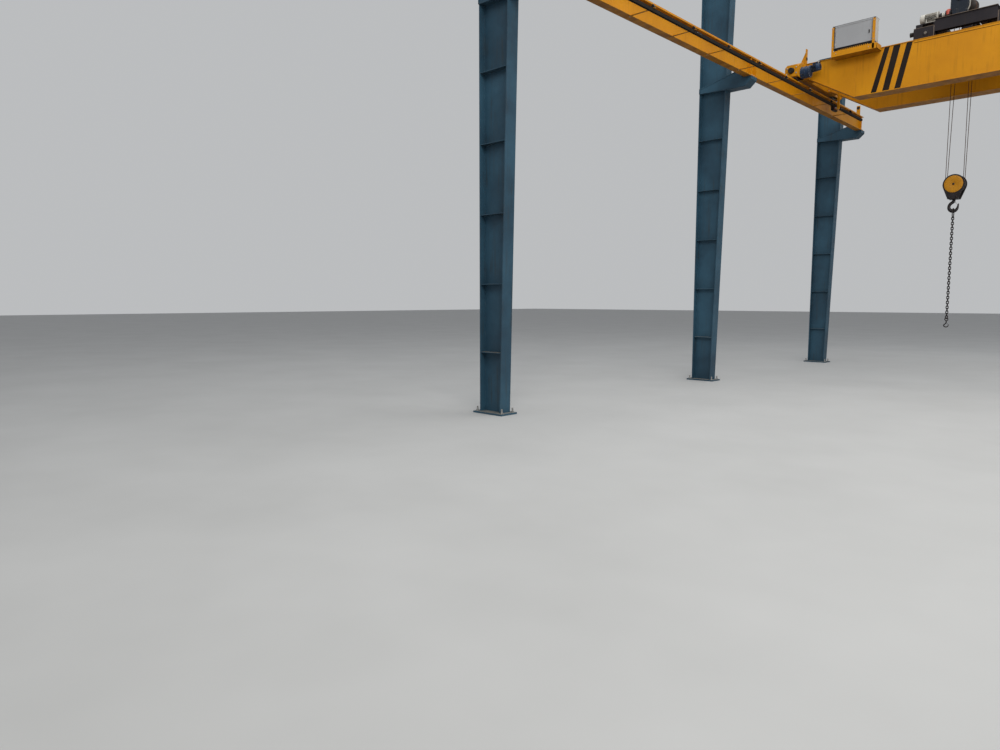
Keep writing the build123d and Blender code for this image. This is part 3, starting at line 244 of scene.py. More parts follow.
materials = {
    "column_paint": paint(
        "column_blue", (0.032, 0.090, 0.138), (0.018, 0.050, 0.080), (0.030, 0.034, 0.034),
        roughness=0.42, streaks=0.75, dust=0.6, wear=0.6, bare=(0.13, 0.10, 0.08), shine=0.3,
    ),
    "crane_paint": paint(
        "crane_yellow", (0.600, 0.252, 0.003), (0.520, 0.208, 0.003), (0.110, 0.034, 0.003),
        roughness=0.42, streaks=0.34, under=0.85, wear=0.30, bare=(0.20, 0.09, 0.02),
        dust_colour=(0.32, 0.19, 0.07), shine=0.22,
    ),
    "rail_steel": steel("rail_steel", (0.20, 0.17, 0.14), (0.11, 0.085, 0.065), rusty=0.55),
    "conductor_housing": rubber("conductor_housing", (0.010, 0.007, 0.005), (0.018, 0.013, 0.009), 0.3),
    "collector_steel": steel("collector_steel", (0.10, 0.105, 0.11), (0.05, 0.05, 0.055), metallic=0.6),
    # The cabinet's grey is set darker than its own colour, towards its shaded front: partly painted shade.
    "cabinet_paint": paint(
        "cabinet_grey", (0.345, 0.350, 0.362), (0.305, 0.310, 0.320), (0.150, 0.125, 0.095),
        roughness=0.38, streaks=0.35, under=0.5, wear=0.2, shine=0.3,
    ),
    "drive_paint": paint(
        "drive_blue", (0.010, 0.034, 0.085), (0.007, 0.021, 0.050), (0.036, 0.034, 0.030),
        streaks=0.7, wear=0.8, bare=(0.22, 0.22, 0.21), shine=0.3,
    ),
    "wheel_steel": steel("wheel_steel", (0.24, 0.22, 0.20), (0.13, 0.115, 0.10), rusty=0.45),
    "crab_paint": paint(
        "crab_dark", (0.024, 0.020, 0.024), (0.014, 0.012, 0.015), (0.050, 0.030, 0.016),
        roughness=0.45, streaks=0.6, dust=0.35, under=0.3, wear=0.6, bare=(0.18, 0.13, 0.09), shine=0.2,
    ),
    "motor_alloy": paint(
        "motor_cream", (0.560, 0.535, 0.480), (0.460, 0.435, 0.385), (0.150, 0.110, 0.070),
        streaks=0.45, dust=0.4, under=0.5, wear=0.35,
    ),
    "brake_paint": paint(
        "brake_red", (0.480, 0.062, 0.032), (0.380, 0.045, 0.024), (0.100, 0.035, 0.020),
        streaks=0.4, wear=0.3,
    ),
    "drum_steel": steel("drum_steel", (0.085, 0.080, 0.078), (0.045, 0.042, 0.040), metallic=0.7),
    "rope_steel": steel(
        "rope_steel", (0.115, 0.070, 0.050), (0.060, 0.035, 0.027), rust=(0.05, 0.02, 0.01), scale=60.0,
    ),
    "block_paint": paint(
        "block_yellow", (0.520, 0.235, 0.008), (0.430, 0.180, 0.006), (0.110, 0.055, 0.020),
        roughness=0.45, streaks=0.3, under=0.5, wear=0.7, bare=(0.12, 0.07, 0.03), shine=0.25,
    ),
    "forged_steel": steel(
        "forged_steel", (0.035, 0.033, 0.036), (0.02, 0.019, 0.02), roughness=0.38, rusty=0.3,
    ),
    "painted_rail": paint(
        "painted_rail", (0.600, 0.252, 0.003), (0.520, 0.208, 0.003), (0.110, 0.034, 0.003),
        roughness=0.45, streaks=0.4, dust=1.0, under=0.6, wear=0.5, bare=(0.20, 0.09, 0.02),
        dust_colour=(0.13, 0.10, 0.08), shine=0.22,
    ),
    "gear_paint": paint(
        "gear_navy", (0.010, 0.018, 0.032), (0.006, 0.010, 0.018), (0.036, 0.034, 0.030),
        streaks=0.7, wear=0.8, bare=(0.22, 0.21, 0.19), shine=0.25,
    ),
    "black_band": paint(
        "black_band", (0.010, 0.007, 0.006), (0.018, 0.012, 0.009), (0.045, 0.028, 0.014),
        roughness=0.5, streaks=0.35, under=0.3, wear=0.2, shine=0.15,
    ),
    "rubber_black": rubber("rubber_black", (0.012, 0.012, 0.013), (0.028, 0.026, 0.025)),
    # Near-black for black parts, and for painted shade in holes, gaps and between motor fins.
    "black_and_painted_shade": rubber("black_parts_and_painted_shade", (0.006, 0.006, 0.007), (0.012, 0.012, 0.013)),
    "zinc": steel(
        "zinc", (0.42, 0.42, 0.41), (0.30, 0.30, 0.29), rust=(0.16, 0.09, 0.05), roughness=0.35, rusty=0.3,
        scale=60.0,
    ),
    "edge_highlight_steel": steel("edge_highlight_steel", (0.15, 0.115, 0.09), (0.09, 0.065, 0.05), rusty=0.5, metallic=0.3),
}

slot_of = {row["node"]: row["material_slot"] for row in frame["record"]["subparts"]}
for name, piece in nodes.items():
    look = materials["painted_rail" if name.startswith("runway_rail") else slot_of[name]]
    if not piece.data.materials:
        piece.data.materials.append(look)
    for slot in piece.material_slots:
        slot.material = look


# Mesh making
def polar(first, second, degrees, radius=1.0):
    """A point at an angle in the plane of two vectors."""
    turn = math.radians(degrees)
    return (first * math.cos(turn) + second * math.sin(turn)) * radius


def arc(centre, first, second, radius, start, end, steps):
    """Points on an arc in the plane of two unit vectors, from start to end in degrees."""
    turns = [start + (end - start) * i / steps for i in range(steps + 1)]
    return [Vector(centre) + polar(first, second, turn, radius) for turn in turns]


class Shape:
    """Mesh pieces gathered in one object, in its slot's material until use() names another."""

    def __init__(self, slot):
        self.mesh = bmesh.new()
        self.slot = self.surface = slot
        self.surfaces = []

    def use(self, surface):
        self.surface = surface
        return self

    def loft(self, rings, closed=False, caps=True):
        """Skins rings of points; closed joins the last ring to the first."""
        rows = [[self.mesh.verts.new(p) for p in ring] for ring in rings]
        made = []
        pairs = list(zip(rows, rows[1:]))
        if closed:
            pairs.append((rows[-1], rows[0]))
        for low, high in pairs:
            for i in range(len(low)):
                j = (i + 1) % len(low)
                made.append(self.mesh.faces.new((low[i], low[j], high[j], high[i])))
        if caps and not closed:
            made.append(self.mesh.faces.new(rows[0][::-1]))
            made.append(self.mesh.faces.new(rows[-1]))
        if self.surface not in self.surfaces:
            self.surfaces.append(self.surface)
        for face in made:
            face.material_index = self.surfaces.index(self.surface)
        return self

    def box(self, low, high):
        """A block between any two opposite corners."""
        low, high = Vector(low), Vector(high)
        middle, half = (low + high) / 2, (high - low) / 2
        outline = ((-1, -1), (1, -1), (1, 1), (-1, 1))
        return self.loft([
            [middle + Vector((x * half.x, y * half.y, z * half.z)) for x, y in outline] for z in (-1, 1)
        ])

    def slab(self, x, y, half_x, half_y, low, high):
        """A block round a place, from a low height to a high one."""
        return self.box((x - half_x, y - half_y, low), (x + half_x, y + half_y, high))

    def prism(self, outline, depth):
        """A plate from an outline of points, thickened by the vector depth."""
        outline, depth = [Vector(p) for p in outline], Vector(depth)
        return self.loft([outline, [p + depth for p in outline]])

    def plate(self, outline, y, thick):
        """A plate from points (x, z) at y, thickened along Y."""
        return self.prism([(x, y, z) for x, z in outline], Y * thick)

    def lathe(self, centre, axis, profile, steps, solid=True):
        """Turns a profile of (along, radius) about an axis; a solid's ends are closed."""
        if solid:
            profile = [(profile[0][0], 0), *profile, (profile[-1][0], 0)]
        centre, axis = Vector(centre), Vector(axis).normalized()
        side = axis.cross(Z if abs(axis.z) < 0.9 else X).normalized()
        other = axis.cross(side)
        rings = []
        for along, radius in profile:
            middle, radius = centre + axis * along, max(radius, 1e-5)
            rings.append([middle + polar(side, other, 360 * i / steps, radius) for i in range(steps)])
        return self.loft(rings, caps=False)

    def pin(self, centre, axis, radius, end, steps=24, start=0.0):
        """A plain round bar from start to end along an axis."""
        return self.lathe(centre, axis, ((start, radius), (end, radius)), steps)

    def tube(self, path, radius, steps=12, closed=False):
        """A round tube along points; radius is a number or one for each point."""
        path = [Vector(p) for p in path]
        count = len(path)
        radii = radius if isinstance(radius, (list, tuple)) else [radius] * count
        rings, side = [], None
        for i, point in enumerate(path):
            before = path[i - 1] if closed or i else path[0]
            after = path[(i + 1) % count] if closed or i < count - 1 else path[-1]
            along = (after - before).normalized()
            if side is None:
                side = along.cross(Z if abs(along.z) < 0.9 else X)
            side = (side - along * side.dot(along)).normalized()
            other = along.cross(side)
            rings.append([point + polar(side, other, 360 * k / steps, radii[i]) for k in range(steps)])
        return self.loft(rings, closed=closed)

    def bolt(self, place, axis, size=0.016, washer=True, surface="zinc"):
        """A hexagon head on its washer; size is the thread's diameter."""
        kept, self.surface = self.surface, surface
        rise = 0.0
        if washer:
            rise = 0.17 * size
            self.pin(place, axis, 1.05 * size, rise, 16)
        high, low = rise + 0.65 * size, rise + 0.55 * size
        head = ((rise, 0.88 * size), (low, 0.88 * size), (high, 0.74 * size))
        self.lathe(place, axis, head, 6)
        self.surface = kept

    def bolt_ring(self, centre, first, second, radius, degrees, axis, size, washer=True, surface="zinc"):
        """Bolts round a centre, at angles in the plane of two unit vectors."""
        for angle in degrees:
            self.bolt(centre + polar(first, second, angle, radius), axis, size, washer, surface)

    def make(self, name, body, bevel=0.0, replaces=None, smooth=40.0):
        """Ends the shape as a piece that rides on a body; a piece given no body is left unattached."""
        bmesh.ops.remove_doubles(self.mesh, verts=self.mesh.verts, dist=2e-5)
        bmesh.ops.recalc_face_normals(self.mesh, faces=self.mesh.faces)
        data = bpy.data.meshes.new(name)
        self.mesh.to_mesh(data)
        self.mesh.free()
        data.shade_smooth()
        data.set_sharp_from_angle(angle=math.radians(smooth))
        for surface in self.surfaces:
            data.materials.append(materials[surface])
        piece = bpy.data.objects.new(name, data)
        bpy.context.scene.collection.objects.link(piece)
        if bevel:
            rounding = piece.modifiers.new("edges", "BEVEL")
            rounding.width = bevel
            rounding.segments = 2
            rounding.limit_method = "ANGLE"
            rounding.angle_limit = math.radians(40)
        if body:
            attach(piece, body)
        if replaces:
            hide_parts(replaces)
        return piece


def corners(a, b):
    """The four places that lie a and b from a middle."""
    return ((-a, -b), (-a, b), (a, -b), (a, b))


def smooth(points, steps):
    """Rows of numbers joined by a smooth curve through each of them."""
    made = []
    last = len(points) - 1
    for i in range(last):
        a, b, c, d = (points[max(i - 1, 0)], points[i], points[i + 1], points[min(i + 2, last)])
        for k in range(steps):
            t = k / steps
            made.append(tuple(
                0.5 * (2 * q + (r - p) * t + (2 * p - 5 * q + 4 * r - s) * t * t
                       + (3 * q - p - 3 * r + s) * t ** 3)
                for p, q, r, s in zip(a, b, c, d)
            ))
    made.append(tuple(points[-1]))
    return made


def laid_rope(shape, path, radius=0.006, strands=6, lay=0.075):
    """A laid rope along points: a lobed section that twists as it goes."""
    points = [Vector(p) for p in path]
    rings, side, travelled = [], None, 0.0
    for i, point in enumerate(points):
        along = (points[min(i + 1, len(points) - 1)] - points[max(i - 1, 0)]).normalized()
        if side is None:
            side = along.cross(X if abs(along.x) < 0.9 else Y)
        else:
            travelled += (point - points[i - 1]).length
        side = (side - along * side.dot(along)).normalized()
        other = along.cross(side)
        ring = []
        for k in range(strands * 3):
            turn = 360 * (k / (strands * 3) + travelled / lay)
            ring.append(point + polar(side, other, turn, radius * (0.88 if k % 3 == 0 else 1.0)))
        rings.append(ring)
    shape.loft(rings)


def both_sides(rows, middle=()):
    """A profile from one half of it, with what lies in its middle."""
    return list(rows) + list(middle) + [(-along, radius) for along, radius in rows[::-1]]


def straight(start, end, step):
    start, end = Vector(start), Vector(end)
    count = max(2, round((end - start).length / step))
    return [start.lerp(end, i / count) for i in range(count + 1)]


def bead(shape, start, end, size=0.004, step=0.03):
    """A fillet weld along a straight seam, a little uneven."""
    points = straight(start, end, step)
    shape.tube(points, [size * random.uniform(0.85, 1.15) for _ in points], 6)


def hull_outline(low, low_radius, high, high_radius, first, steps=14):
    """The outline round two discs, one above the other, in the plane of a unit vector and Z."""
    lean = math.degrees(math.asin((low_radius - high_radius) / (high - low).length))
    points = arc(low, first, Z, low_radius, 180 - lean, 360 + lean, steps)
    return points + arc(high, first, Z, high_radius, lean, 180 - lean, steps)


def gear_case(shape, low, low_radius, high, high_radius, first, out, layers):
    """A case round two shafts, one above the other, in layers of (start, end, shrink) along out."""
    for start, end, shrink in layers:
        discs = low + out * start, low_radius - shrink, high + out * start, high_radius - shrink
        shape.prism(hull_outline(*discs, first), out * (end - start))


def motor(shape, coat, core_coat, front, axis, up, radius, length, cap, fins, box_start=0.03):
    """A finned motor with a terminal box on the side that up names, and a fan cap at its end."""
    axis, up = axis.normalized(), up.normalized()
    side = axis.cross(up).normalized()
    up = side.cross(axis).normalized()
    core = radius - 0.012
    scale = radius / 0.09
    shape.use(coat).lathe(front, axis, (
        (0, radius + 0.008), (0.012, radius + 0.008), (0.015, radius + 0.004), (0.03, core + 0.001),
    ), 40)
    # The core between the fins takes core_coat; where that is the near-black surface, it is painted shade
    # between the fins.
    shape.use(core_coat).lathe(front, axis, (
        (0.029, core), (length - 0.018, core), (length - 0.012, core + 0.005), (length, core + 0.005),
    ), 40)
    shape.use(coat)
    low, high = front + axis * 0.02, front + axis * (length - 0.014)
    for i in range(fins):
        out = polar(side, up, 360 * (i + 0.5) / fins)
        across = axis.cross(out) * 0.0017
        inner, outer = out * (core - 0.002) - across, out * (radius - 0.001) - across
        shape.prism((low + inner, high + inner, high + outer, low + outer), across * 2)
    back = length + cap
    shape.lathe(front, axis, (
        (length - 0.02, radius - 0.004), (length - 0.02, radius - 0.0005), (back - 0.016, radius - 0.0015),
        (back - 0.004, radius - 0.008), (back, radius * 0.8), (back, radius * 0.62),
        (back - 0.004, radius * 0.6), (back - 0.004, 0),
    ), 40, solid=False)
    # Near-black rings on the fan cap: painted shade in its vent openings.
    for share in (0.2, 0.34, 0.48):
        ring = radius * share
        shape.use("black_and_painted_shade").lathe(front + axis * (back - 0.0035), axis, (
            (0, ring - 0.003), (0.0015, ring - 0.0025), (0.0015, ring + 0.0025), (0, ring + 0.003),
        ), 32, solid=False)
    for angle in range(45, 360, 90):
        out = polar(side, up, angle)
        shape.bolt(front + axis * 0.012 + out * (radius - 0.004), axis, 0.01)
        shape.bolt(front + axis * (back - 0.02) + out * (radius - 0.003), out, 0.005, washer=False)
    base = front + axis * box_start + up * (core - 0.004)
    for low, high, grow in ((0.0, 0.034, 0.0), (0.034, 0.044, 0.003)):
        half = side * (0.042 * scale + grow)
        outline = ((-1, -grow), (1, -grow), (1, 0.09 + grow), (-1, 0.09 + grow))
        shape.use(coat).prism([base + half * s + axis * along + up * low for s, along in outline],
                              up * (high - low))
    for s in (-1, 1):
        for along in (0.008, 0.082):
            lid = base + side * s * 0.034 * scale + axis * along + up * 0.044
            shape.bolt(lid, up, 0.005, washer=False)
    gland = base + side * (0.042 * scale) + axis * 0.045 + up * 0.016
    profile = ((0, 0.012), (0.008, 0.012), (0.01, 0.009), (0.02, 0.008))
    shape.use("black_and_painted_shade").lathe(gland, side, profile, 12)


# Columns: holding-down bolts, bolts under the beams, the brackets' raised edges and weld beads
COLUMN_OUT = 6.98
COLUMN_Y = {1: -6.0, 2: 0.0, 3: 6.0}
SEAT_BOLTS = {1: (0.02, 0.075), 2: (-0.05, 0.05), 3: (-0.075, -0.02)}
BRACKET = (
    (6.98, 5.58), (6.98, 5.67), (6.1, 5.89), (6.1, 5.725), (5.925, 5.725), (5.925, 5.665), (6.045, 5.555),
)
for side, side_name in SIDES:
    for number, column_y in COLUMN_Y.items():
        bolts = Shape("column_paint").use("zinc")
        for dx, dy in corners(0.24, 0.11):
            foot = Vector((side * 6.78 + dx, column_y + dy, 0.025))
            bolts.bolt(foot, Z, 0.024)
            bolts.lathe(foot, Z, ((0, 0.012), (0.062, 0.012), (0.065, 0.009), (0.065, 0)), 12, solid=False)
        for dx in (-0.05, 0.05):
            for dy in SEAT_BOLTS[number]:
                bolts.bolt((side * RAIL_X + dx, column_y + dy, 5.739), Z)
        bolts.use("column_paint")
        for face in (-1, 1):
            cheek, web = column_y + face * 0.11, column_y + face * 0.006
            for (x0, z0), (x1, z1) in zip(BRACKET, BRACKET[1:] + BRACKET[:1]):
                start, end = Vector((side * x0, cheek, z0)), Vector((side * x1, cheek, z1))
                inward = (end - start).normalized().cross(Y) * side * 0.014
                bolts.prism((start, end, end + inward, start + inward), Y * face * 0.006)
            for level in range(5):
                z = 0.86 + 0.955 * level
                inner = COLUMN_OUT - 0.4 - 0.2 * z / 7.6 + 0.018
                for height in (z - 0.001, z + 0.011):
                    bead(bolts, (side * (COLUMN_OUT - 0.018), web, height), (side * inner, web, height))
        bolts.make(f"column_fixings_{side_name}_{number}", "root")

# Runway: rail clips, stop pads and beads, then the conductor's hangers and joints
BEAM_WEB = (5.7425, 6.0325)
CLIP_Z = (6.0501, 6.068)
for side, side_name in SIDES:
    rail_x = side * RAIL_X
    clips = Shape("crane_paint")
    for row in range(20):
        y = -5.7 + row * 0.6
        for across in (-1, 1):
            x = rail_x + across * 0.042
            clips.use("crane_paint").slab(x, y, 0.0163, 0.03, *CLIP_Z)
            clips.bolt((x + across * 0.002, y, CLIP_Z[1]), Z, 0.012)
    for end in (-1, 1):
        clips.use("rubber_black").pin((rail_x, end * 5.83, BUFFER_Z), Y * -end, 0.036, 0.0045, start=-0.001)
        clips.use("crane_paint")
        for x in (rail_x - 0.006, rail_x + 0.006):
            for z in BEAM_WEB:
                bead(clips, (x, end * 0.01, z), (x, end * 5.98, z), 0.004, 0.05)
    clips.make(f"rail_clips_{side_name}", "root", bevel=0.0015)

HANGER_RIB = ((-5.925, 5.725), (-5.62, 5.725), (-5.925, 5.7385))
HANGER_SADDLE = (
    (-5.6, 5.7251), (-5.52, 5.7251), (-5.53, 5.742), (-5.553, 5.78), (-5.567, 5.78), (-5.59, 5.742),
)
hangers = Shape("crane_paint")
for row in range(8):
    y = -4.025 + row * 1.15
    hangers.use("crane_paint").box((-5.98, y - 0.02, 5.72), (-5.519, y + 0.02, 5.725))
    hangers.plate(HANGER_RIB, y - 0.0025, 0.005)
    hangers.use("black_band").plate(HANGER_SADDLE, y - 0.015, 0.03)
    hangers.bolt((CONDUCTOR_X, y, 5.7795), Z, 0.008)
    hangers.bolt((-5.955, y, 5.72), -Z, 0.01)
hangers.make("hanger_arms", "root", bevel=0.001, replaces="conductor_hangers")

joints = Shape("conductor_housing")
for row in range(-1, 2):
    y = row * 3.1 + 0.35
    joints.use("black_band").slab(CONDUCTOR_X, y, 0.025, 0.07, 5.6785, 5.7195)
    for dy in (-0.05, 0.05):
        joints.bolt((CONDUCTOR_X + 0.025, y + dy, 5.7), X, 0.005)
joints.use("black_band")
for y in (-4.735, 4.735):
    joints.slab(CONDUCTOR_X, y, 0.023, 0.014, 5.6725, 5.7198)
joints.make("conductor_joints", "root", bevel=0.002)

# Girders: warning bands, weld beads, the bar under the top flange with a dark strip as its painted shadow,
# rail clips and stop pads
WEB_FOOT, WEB_TOP = 5.6205, 6.4395
BAND_TOP = ((-4.391, -4.302), (-4.233, -4.111), (-4.008, -3.906))
BAND_FOOT = ((-4.61, -4.51), (-4.402, -4.286), (-4.189, -4.084))
TAPER_X = 4.92
BAR_X = 3.88
bands = Shape("crane_paint").use("black_band")
for top, foot in zip(BAND_TOP, BAND_FOOT):
    outline = ((foot[0], WEB_FOOT), (foot[1], WEB_FOOT), (top[1], WEB_TOP), (top[0], WEB_TOP))
    bands.plate(outline, GIRDER_Y["near"] - WEB_OUT, -0.0008)
bands.make("warning_bands", "bridge")

for name, girder_y in GIRDER_Y.items():
    trim = Shape("crane_paint")
    for face in (-1, 1):
        wall = girder_y + face * WEB_OUT
        y, seam = wall + face * 0.002, wall + face * 0.0005
        trim.use("crane_paint")
        bead(trim, (-5.87, y, GIRDER_TOP - 0.012), (5.87, y, GIRDER_TOP - 0.012), 0.005, 0.04)
        bead(trim, (-TAPER_X, y, 5.622), (TAPER_X, y, 5.622), 0.005, 0.04)
        for end in (-1, 1):
            bead(trim, (end * TAPER_X, y, 5.622), (end * 5.83, y, 6.152), 0.005)
            bead(trim, (end * 5.879, y, 6.155), (end * 5.879, y, 6.435), 0.005)
        for x in (-TAPER_X, -2.0, 2.0, TAPER_X):
            bead(trim, (x, seam, 5.63), (x, seam, 6.43), 0.0025, 0.02)
        trim.box((-BAR_X, wall, 6.402), (BAR_X, wall + face * 0.0075, WEB_TOP))
        # A dark strip under the bar: its painted shadow.
        trim.use("black_band").box((-BAR_X, wall, 6.396), (BAR_X, wall + face * 0.003, 6.4022))
    for row in range(20):
        x = -5.7 + row * 0.6
        for across in (-1, 1):
            y = girder_y + across * 0.036
            trim.use("crane_paint").slab(x, y, 0.025, 0.014, GIRDER_TOP + 0.0001, GIRDER_TOP + 0.015)
            trim.bolt((x, y + across * 0.001, GIRDER_TOP + 0.015), Z, 0.009)
    for end in (-1, 1):
        pad = (end * 5.945, girder_y, CRAB_BUFFER_Z)
        trim.use("rubber_black").pin(pad, X * -end, 0.034, 0.0045, start=-0.001)
        for dy in (-0.19, 0.19):
            for z in (6.17, 6.27, 6.37):
                trim.bolt((end * 5.881, girder_y + dy, z), X * -end, 0.012)
    trim.make(f"girder_trim_{name}", "bridge")

# End carriages: rubber buffers, end-plate bolts, the wheels' keeper plates and beads
BUFFER = (
    (0, 0.0525), (0.008, 0.0525), (0.012, 0.0505), (0.046, 0.0505), (0.05, 0.0525), (0.059, 0.0525),
    (0.063, 0.048), (0.063, 0.03), (0.061, 0.028),
)
KEEPER = ((0, 0.031), (0, 0.062), (0.01, 0.06), (0.012, 0.054), (0.012, 0.031), (0, 0.031))
for side, side_name in SIDES:
    fittings = Shape("crane_paint")
    for end in (-1, 1):
        plate, out = Vector((side * RAIL_X, BRIDGE_Y + end * 1.262, BUFFER_Z)), Y * end
        fittings.use("rubber_black").lathe(plate, out, BUFFER, 40)
        fittings.pin(plate, out, 0.06, 0.004, 32)
        for dx, dz in corners(0.095, 0.055):
            fittings.bolt(plate + X * dx + Z * dz, out, 0.014)
    for wheel_y in WHEEL_Y.values():
        hub, out = Vector((side * (RAIL_X + 0.105), wheel_y, AXLE_Z)), X * side
        # The near-black keeper ring is painted shade in the hub's hole.
        fittings.use("black_and_painted_shade").lathe(hub, out, KEEPER, 32, solid=False)
        fittings.bolt_ring(hub + out * 0.012, Y, Z, 0.046, range(45, 360, 90), out, 0.008)
    fittings.use("crane_paint")
    for wall in (-0.1055, 0.1055):
        x = side * RAIL_X + wall
        for end in (-1, 1):
            y = BRIDGE_Y + end * 1.25
            bead(fittings, (x, y, 6.135), (x, BRIDGE_Y, 6.135), 0.003, 0.04)
            bead(fittings, (x, y, 6.308), (x, BRIDGE_Y + end * 0.99, 6.437), 0.003)
    fittings.make(f"carriage_fittings_{side_name}", "bridge")

# Travel drives: gear case on the near wheel's axle and a motor along the bridge
DRIVE_LAYERS = (
    (0.0, 0.016, 0.0), (0.016, 0.074, 0.008), (0.074, 0.098, 0.0), (0.098, 0.16, 0.008), (0.16, 0.175, 0.0),
)
DRIVE_COVER = ((0, 0.044), (0.006, 0.043), (0.007, 0.026), (0.004, 0.024))
DRIVE_RIB = ((0.016, 0.1), (0.074, 0.1), (0.074, 0.1145), (0.016, 0.1145))
for side, side_name in SIDES:
    drive = Shape("drive_paint")
    inward = X * -side
    axle = Vector((side * 5.8947, WHEEL_Y["near"], AXLE_Z))
    gear_case(drive, axle, 0.115, axle + Z * 0.045, 0.08, Y, inward, DRIVE_LAYERS)
    face = axle + inward * 0.175
    cover = face - Z * 0.035
    drive.bolt_ring(face, Y, Z, 0.101, range(150, 420, 30), inward, 0.008)
    drive.bolt_ring(cover, Y, Z, 0.034, range(0, 360, 60), inward, 0.006)
    drive.use("drive_paint").lathe(cover, inward, DRIVE_COVER, 32)
    for angle in range(205, 365, 32):
        spoke = polar(Y, Z, angle)
        half = X.cross(spoke) * 0.004
        drive.prism([axle + inward * along + spoke * reach - half for along, reach in DRIVE_RIB], half * 2)
    along = Vector((-side, 0, 0.07)).normalized()
    start = axle + inward * 0.167 + Z * 0.045
    # The near-black core between the motor's fins is painted shade.
    motor(drive, "drive_paint", "black_and_painted_shade", start, along, Z, 0.072, 0.155, 0.052, 28, 0.062)
    plug = start + along * 0.172
    profile = ((0, 0.026), (0.04, 0.026), (0.043, 0.022))
    drive.use("black_and_painted_shade").lathe(plug + Z * 0.092 + Y * 0.02, -Y, profile, 24)
    drive.pin(plug + Z * 0.06, Z, 0.012, 0.02, 16)
    drive.use("motor_alloy").lathe(plug + Z * 0.092 - Y * 0.0225, -Y, ((0, 0.015), (0.003, 0.014)), 20)
    name = f"travel_drive_{side_name}"
    drive.make(f"geared_drive_{side_name}", "bridge", bevel=0.0012, replaces=name)

# Hoist: motor, brake and gearbox on the crab
MOTOR_LEG = ((0.03, 0.125), (0.085, 0.113), (0.078, 0.03), (0.04, 0.03))
hoist = Shape("motor_alloy")
front = Vector((MOTOR_X, MACHINE_Y, WORM_Z))
# The near-black core between the motor's fins is painted shade.
motor(hoist, "motor_alloy", "black_and_painted_shade", front, -X, Y + Z * 0.4, 0.09, 0.24, 0.065, 36, 0.05)
for side in (-1, 1):
    for back in (0.028, 0.18):
        low = Vector((MOTOR_X - back - 0.034, MACHINE_Y + side * 0.055 - 0.038, DECK_Z))
        hoist.use("motor_alloy").box(low, low + Vector((0.034, 0.076, 0.014)))
        spot = front - X * (back + 0.017)
        hoist.prism([spot + Y * side * y - Z * down for y, down in MOTOR_LEG], X * 0.012)
        hoist.bolt((spot.x, MACHINE_Y + side * 0.078, FOOT_Z), Z, 0.01)
hoist.use("motor_alloy").slab(MOTOR_X - 0.12, MACHINE_Y, 0.092, 0.052, DECK_SKIN_Z, 6.83)
hoist.make("finned_hoist_motor", "crab", bevel=0.0012, replaces="hoist_motor")

DOME = (
    (-0.03, 0.0495, 0.088), (0.02, 0.0495, 0.088), (0.045, 0.0475, 0.083), (0.065, 0.041, 0.071),
    (0.078, 0.03, 0.052), (0.085, 0.018, 0.03), (0.0875, 0.006, 0.01),
)
DRUM_COVER = ((-0.047, 0.0615), (0.05, 0.0615), (0.05, 0.028), (0.055, 0.02))
NEAR_COUPLING = (
    (-0.055, 0.036), (-0.03, 0.038), (-0.028, 0.048), (-0.004, 0.048), (-0.004, 0.04), (0.0, 0.04),
)
FAR_COUPLING = ((0.0, 0.044), (0.004, 0.048), (0.028, 0.048), (0.03, 0.038), (0.055, 0.036))
LEVER = ((0.0725, -0.125), (0.094, -0.125), (0.093, -0.02), (0.077, -0.02))
brake = Shape("brake_paint")
hub = Vector((BRAKE_X, MACHINE_Y, WORM_Z))
brake.loft([
    [hub + polar(X * half_x, Y * half_y, 10 * i) + Z * height for i in range(36)]
    for height, half_x, half_y in DOME
])
brake.use("forged_steel").lathe(hub, X, DRUM_COVER, 56)
coupling = Vector((COUPLING_X, MACHINE_Y, WORM_Z))
brake.lathe(coupling, X, NEAR_COUPLING, 40)
brake.use("motor_alloy").lathe(coupling, X, FAR_COUPLING, 40)
ring = coupling - X * 0.028
brake.bolt_ring(ring, Y, Z, 0.042, range(0, 360, 60), -X, 0.006, washer=False)
for arm in (-1, 1):
    middle = hub - X * 0.044
    shoe = arc(middle, Y * arm, Z, 0.063, -42, 42, 14) + arc(middle, Y * arm, Z, 0.078, 42, -42, 14)
    brake.use("forged_steel").prism(shoe, X * 0.088)
    for x in (-0.026, 0.014):
        brake.prism([hub + Vector((x, arm * y, z)) for y, z in LEVER], X * 0.012)
    brake.use("zinc").pin(hub + Vector((-0.03, arm * 0.083, -0.11)), X, 0.008, 0.06, 16)
brake.use("forged_steel").slab(BRAKE_X, MACHINE_Y, 0.05, 0.115, DECK_SKIN_Z, 6.792)
for dx, dy in corners(0.035, 0.105):
    brake.bolt((BRAKE_X + dx, MACHINE_Y + dy, 6.792), Z, 0.01)
brake.make("shoe_brake", "crab", bevel=0.001, replaces="hoist_brake")

AXLE_DROP = 0.165
FLANGE_R = 0.1535
SHAFT_COVER = (
    (0.05, 0.082), (0.058, 0.078), (0.071, 0.075), (0.075, 0.07), (0.075, 0.058), (0.075, 0.0355),
    (0.06, 0.0355),
)
END_CAP = ((0.07, 0.062), (0.08, 0.06), (0.086, 0.054), (0.087, 0.03), (0.084, 0.026))
WORM_HALF = (
    (-0.127, 0.04), (-0.124, 0.048), (-0.115, 0.048), (-0.115, 0.056), (-0.111, 0.06), (-0.092, 0.06),
    (-0.088, 0.056),
)
gear = Shape("drive_paint")
drum_axis = Vector((HOOK_X, MACHINE_Y, DRUM_Z))
low_axis = drum_axis - Z * AXLE_DROP
worm_axis = Vector((HOOK_X, MACHINE_Y, WORM_Z))


def oval_layer(surface, rows):
    """A layer of the gear case from rows of (distance towards the photo's side, radius)."""
    discs = [(low_axis - Y * at, radius, drum_axis - Y * at, radius) for at, radius in rows]
    gear.use(surface).loft([hull_outline(*disc, X, 20) for disc in discs])


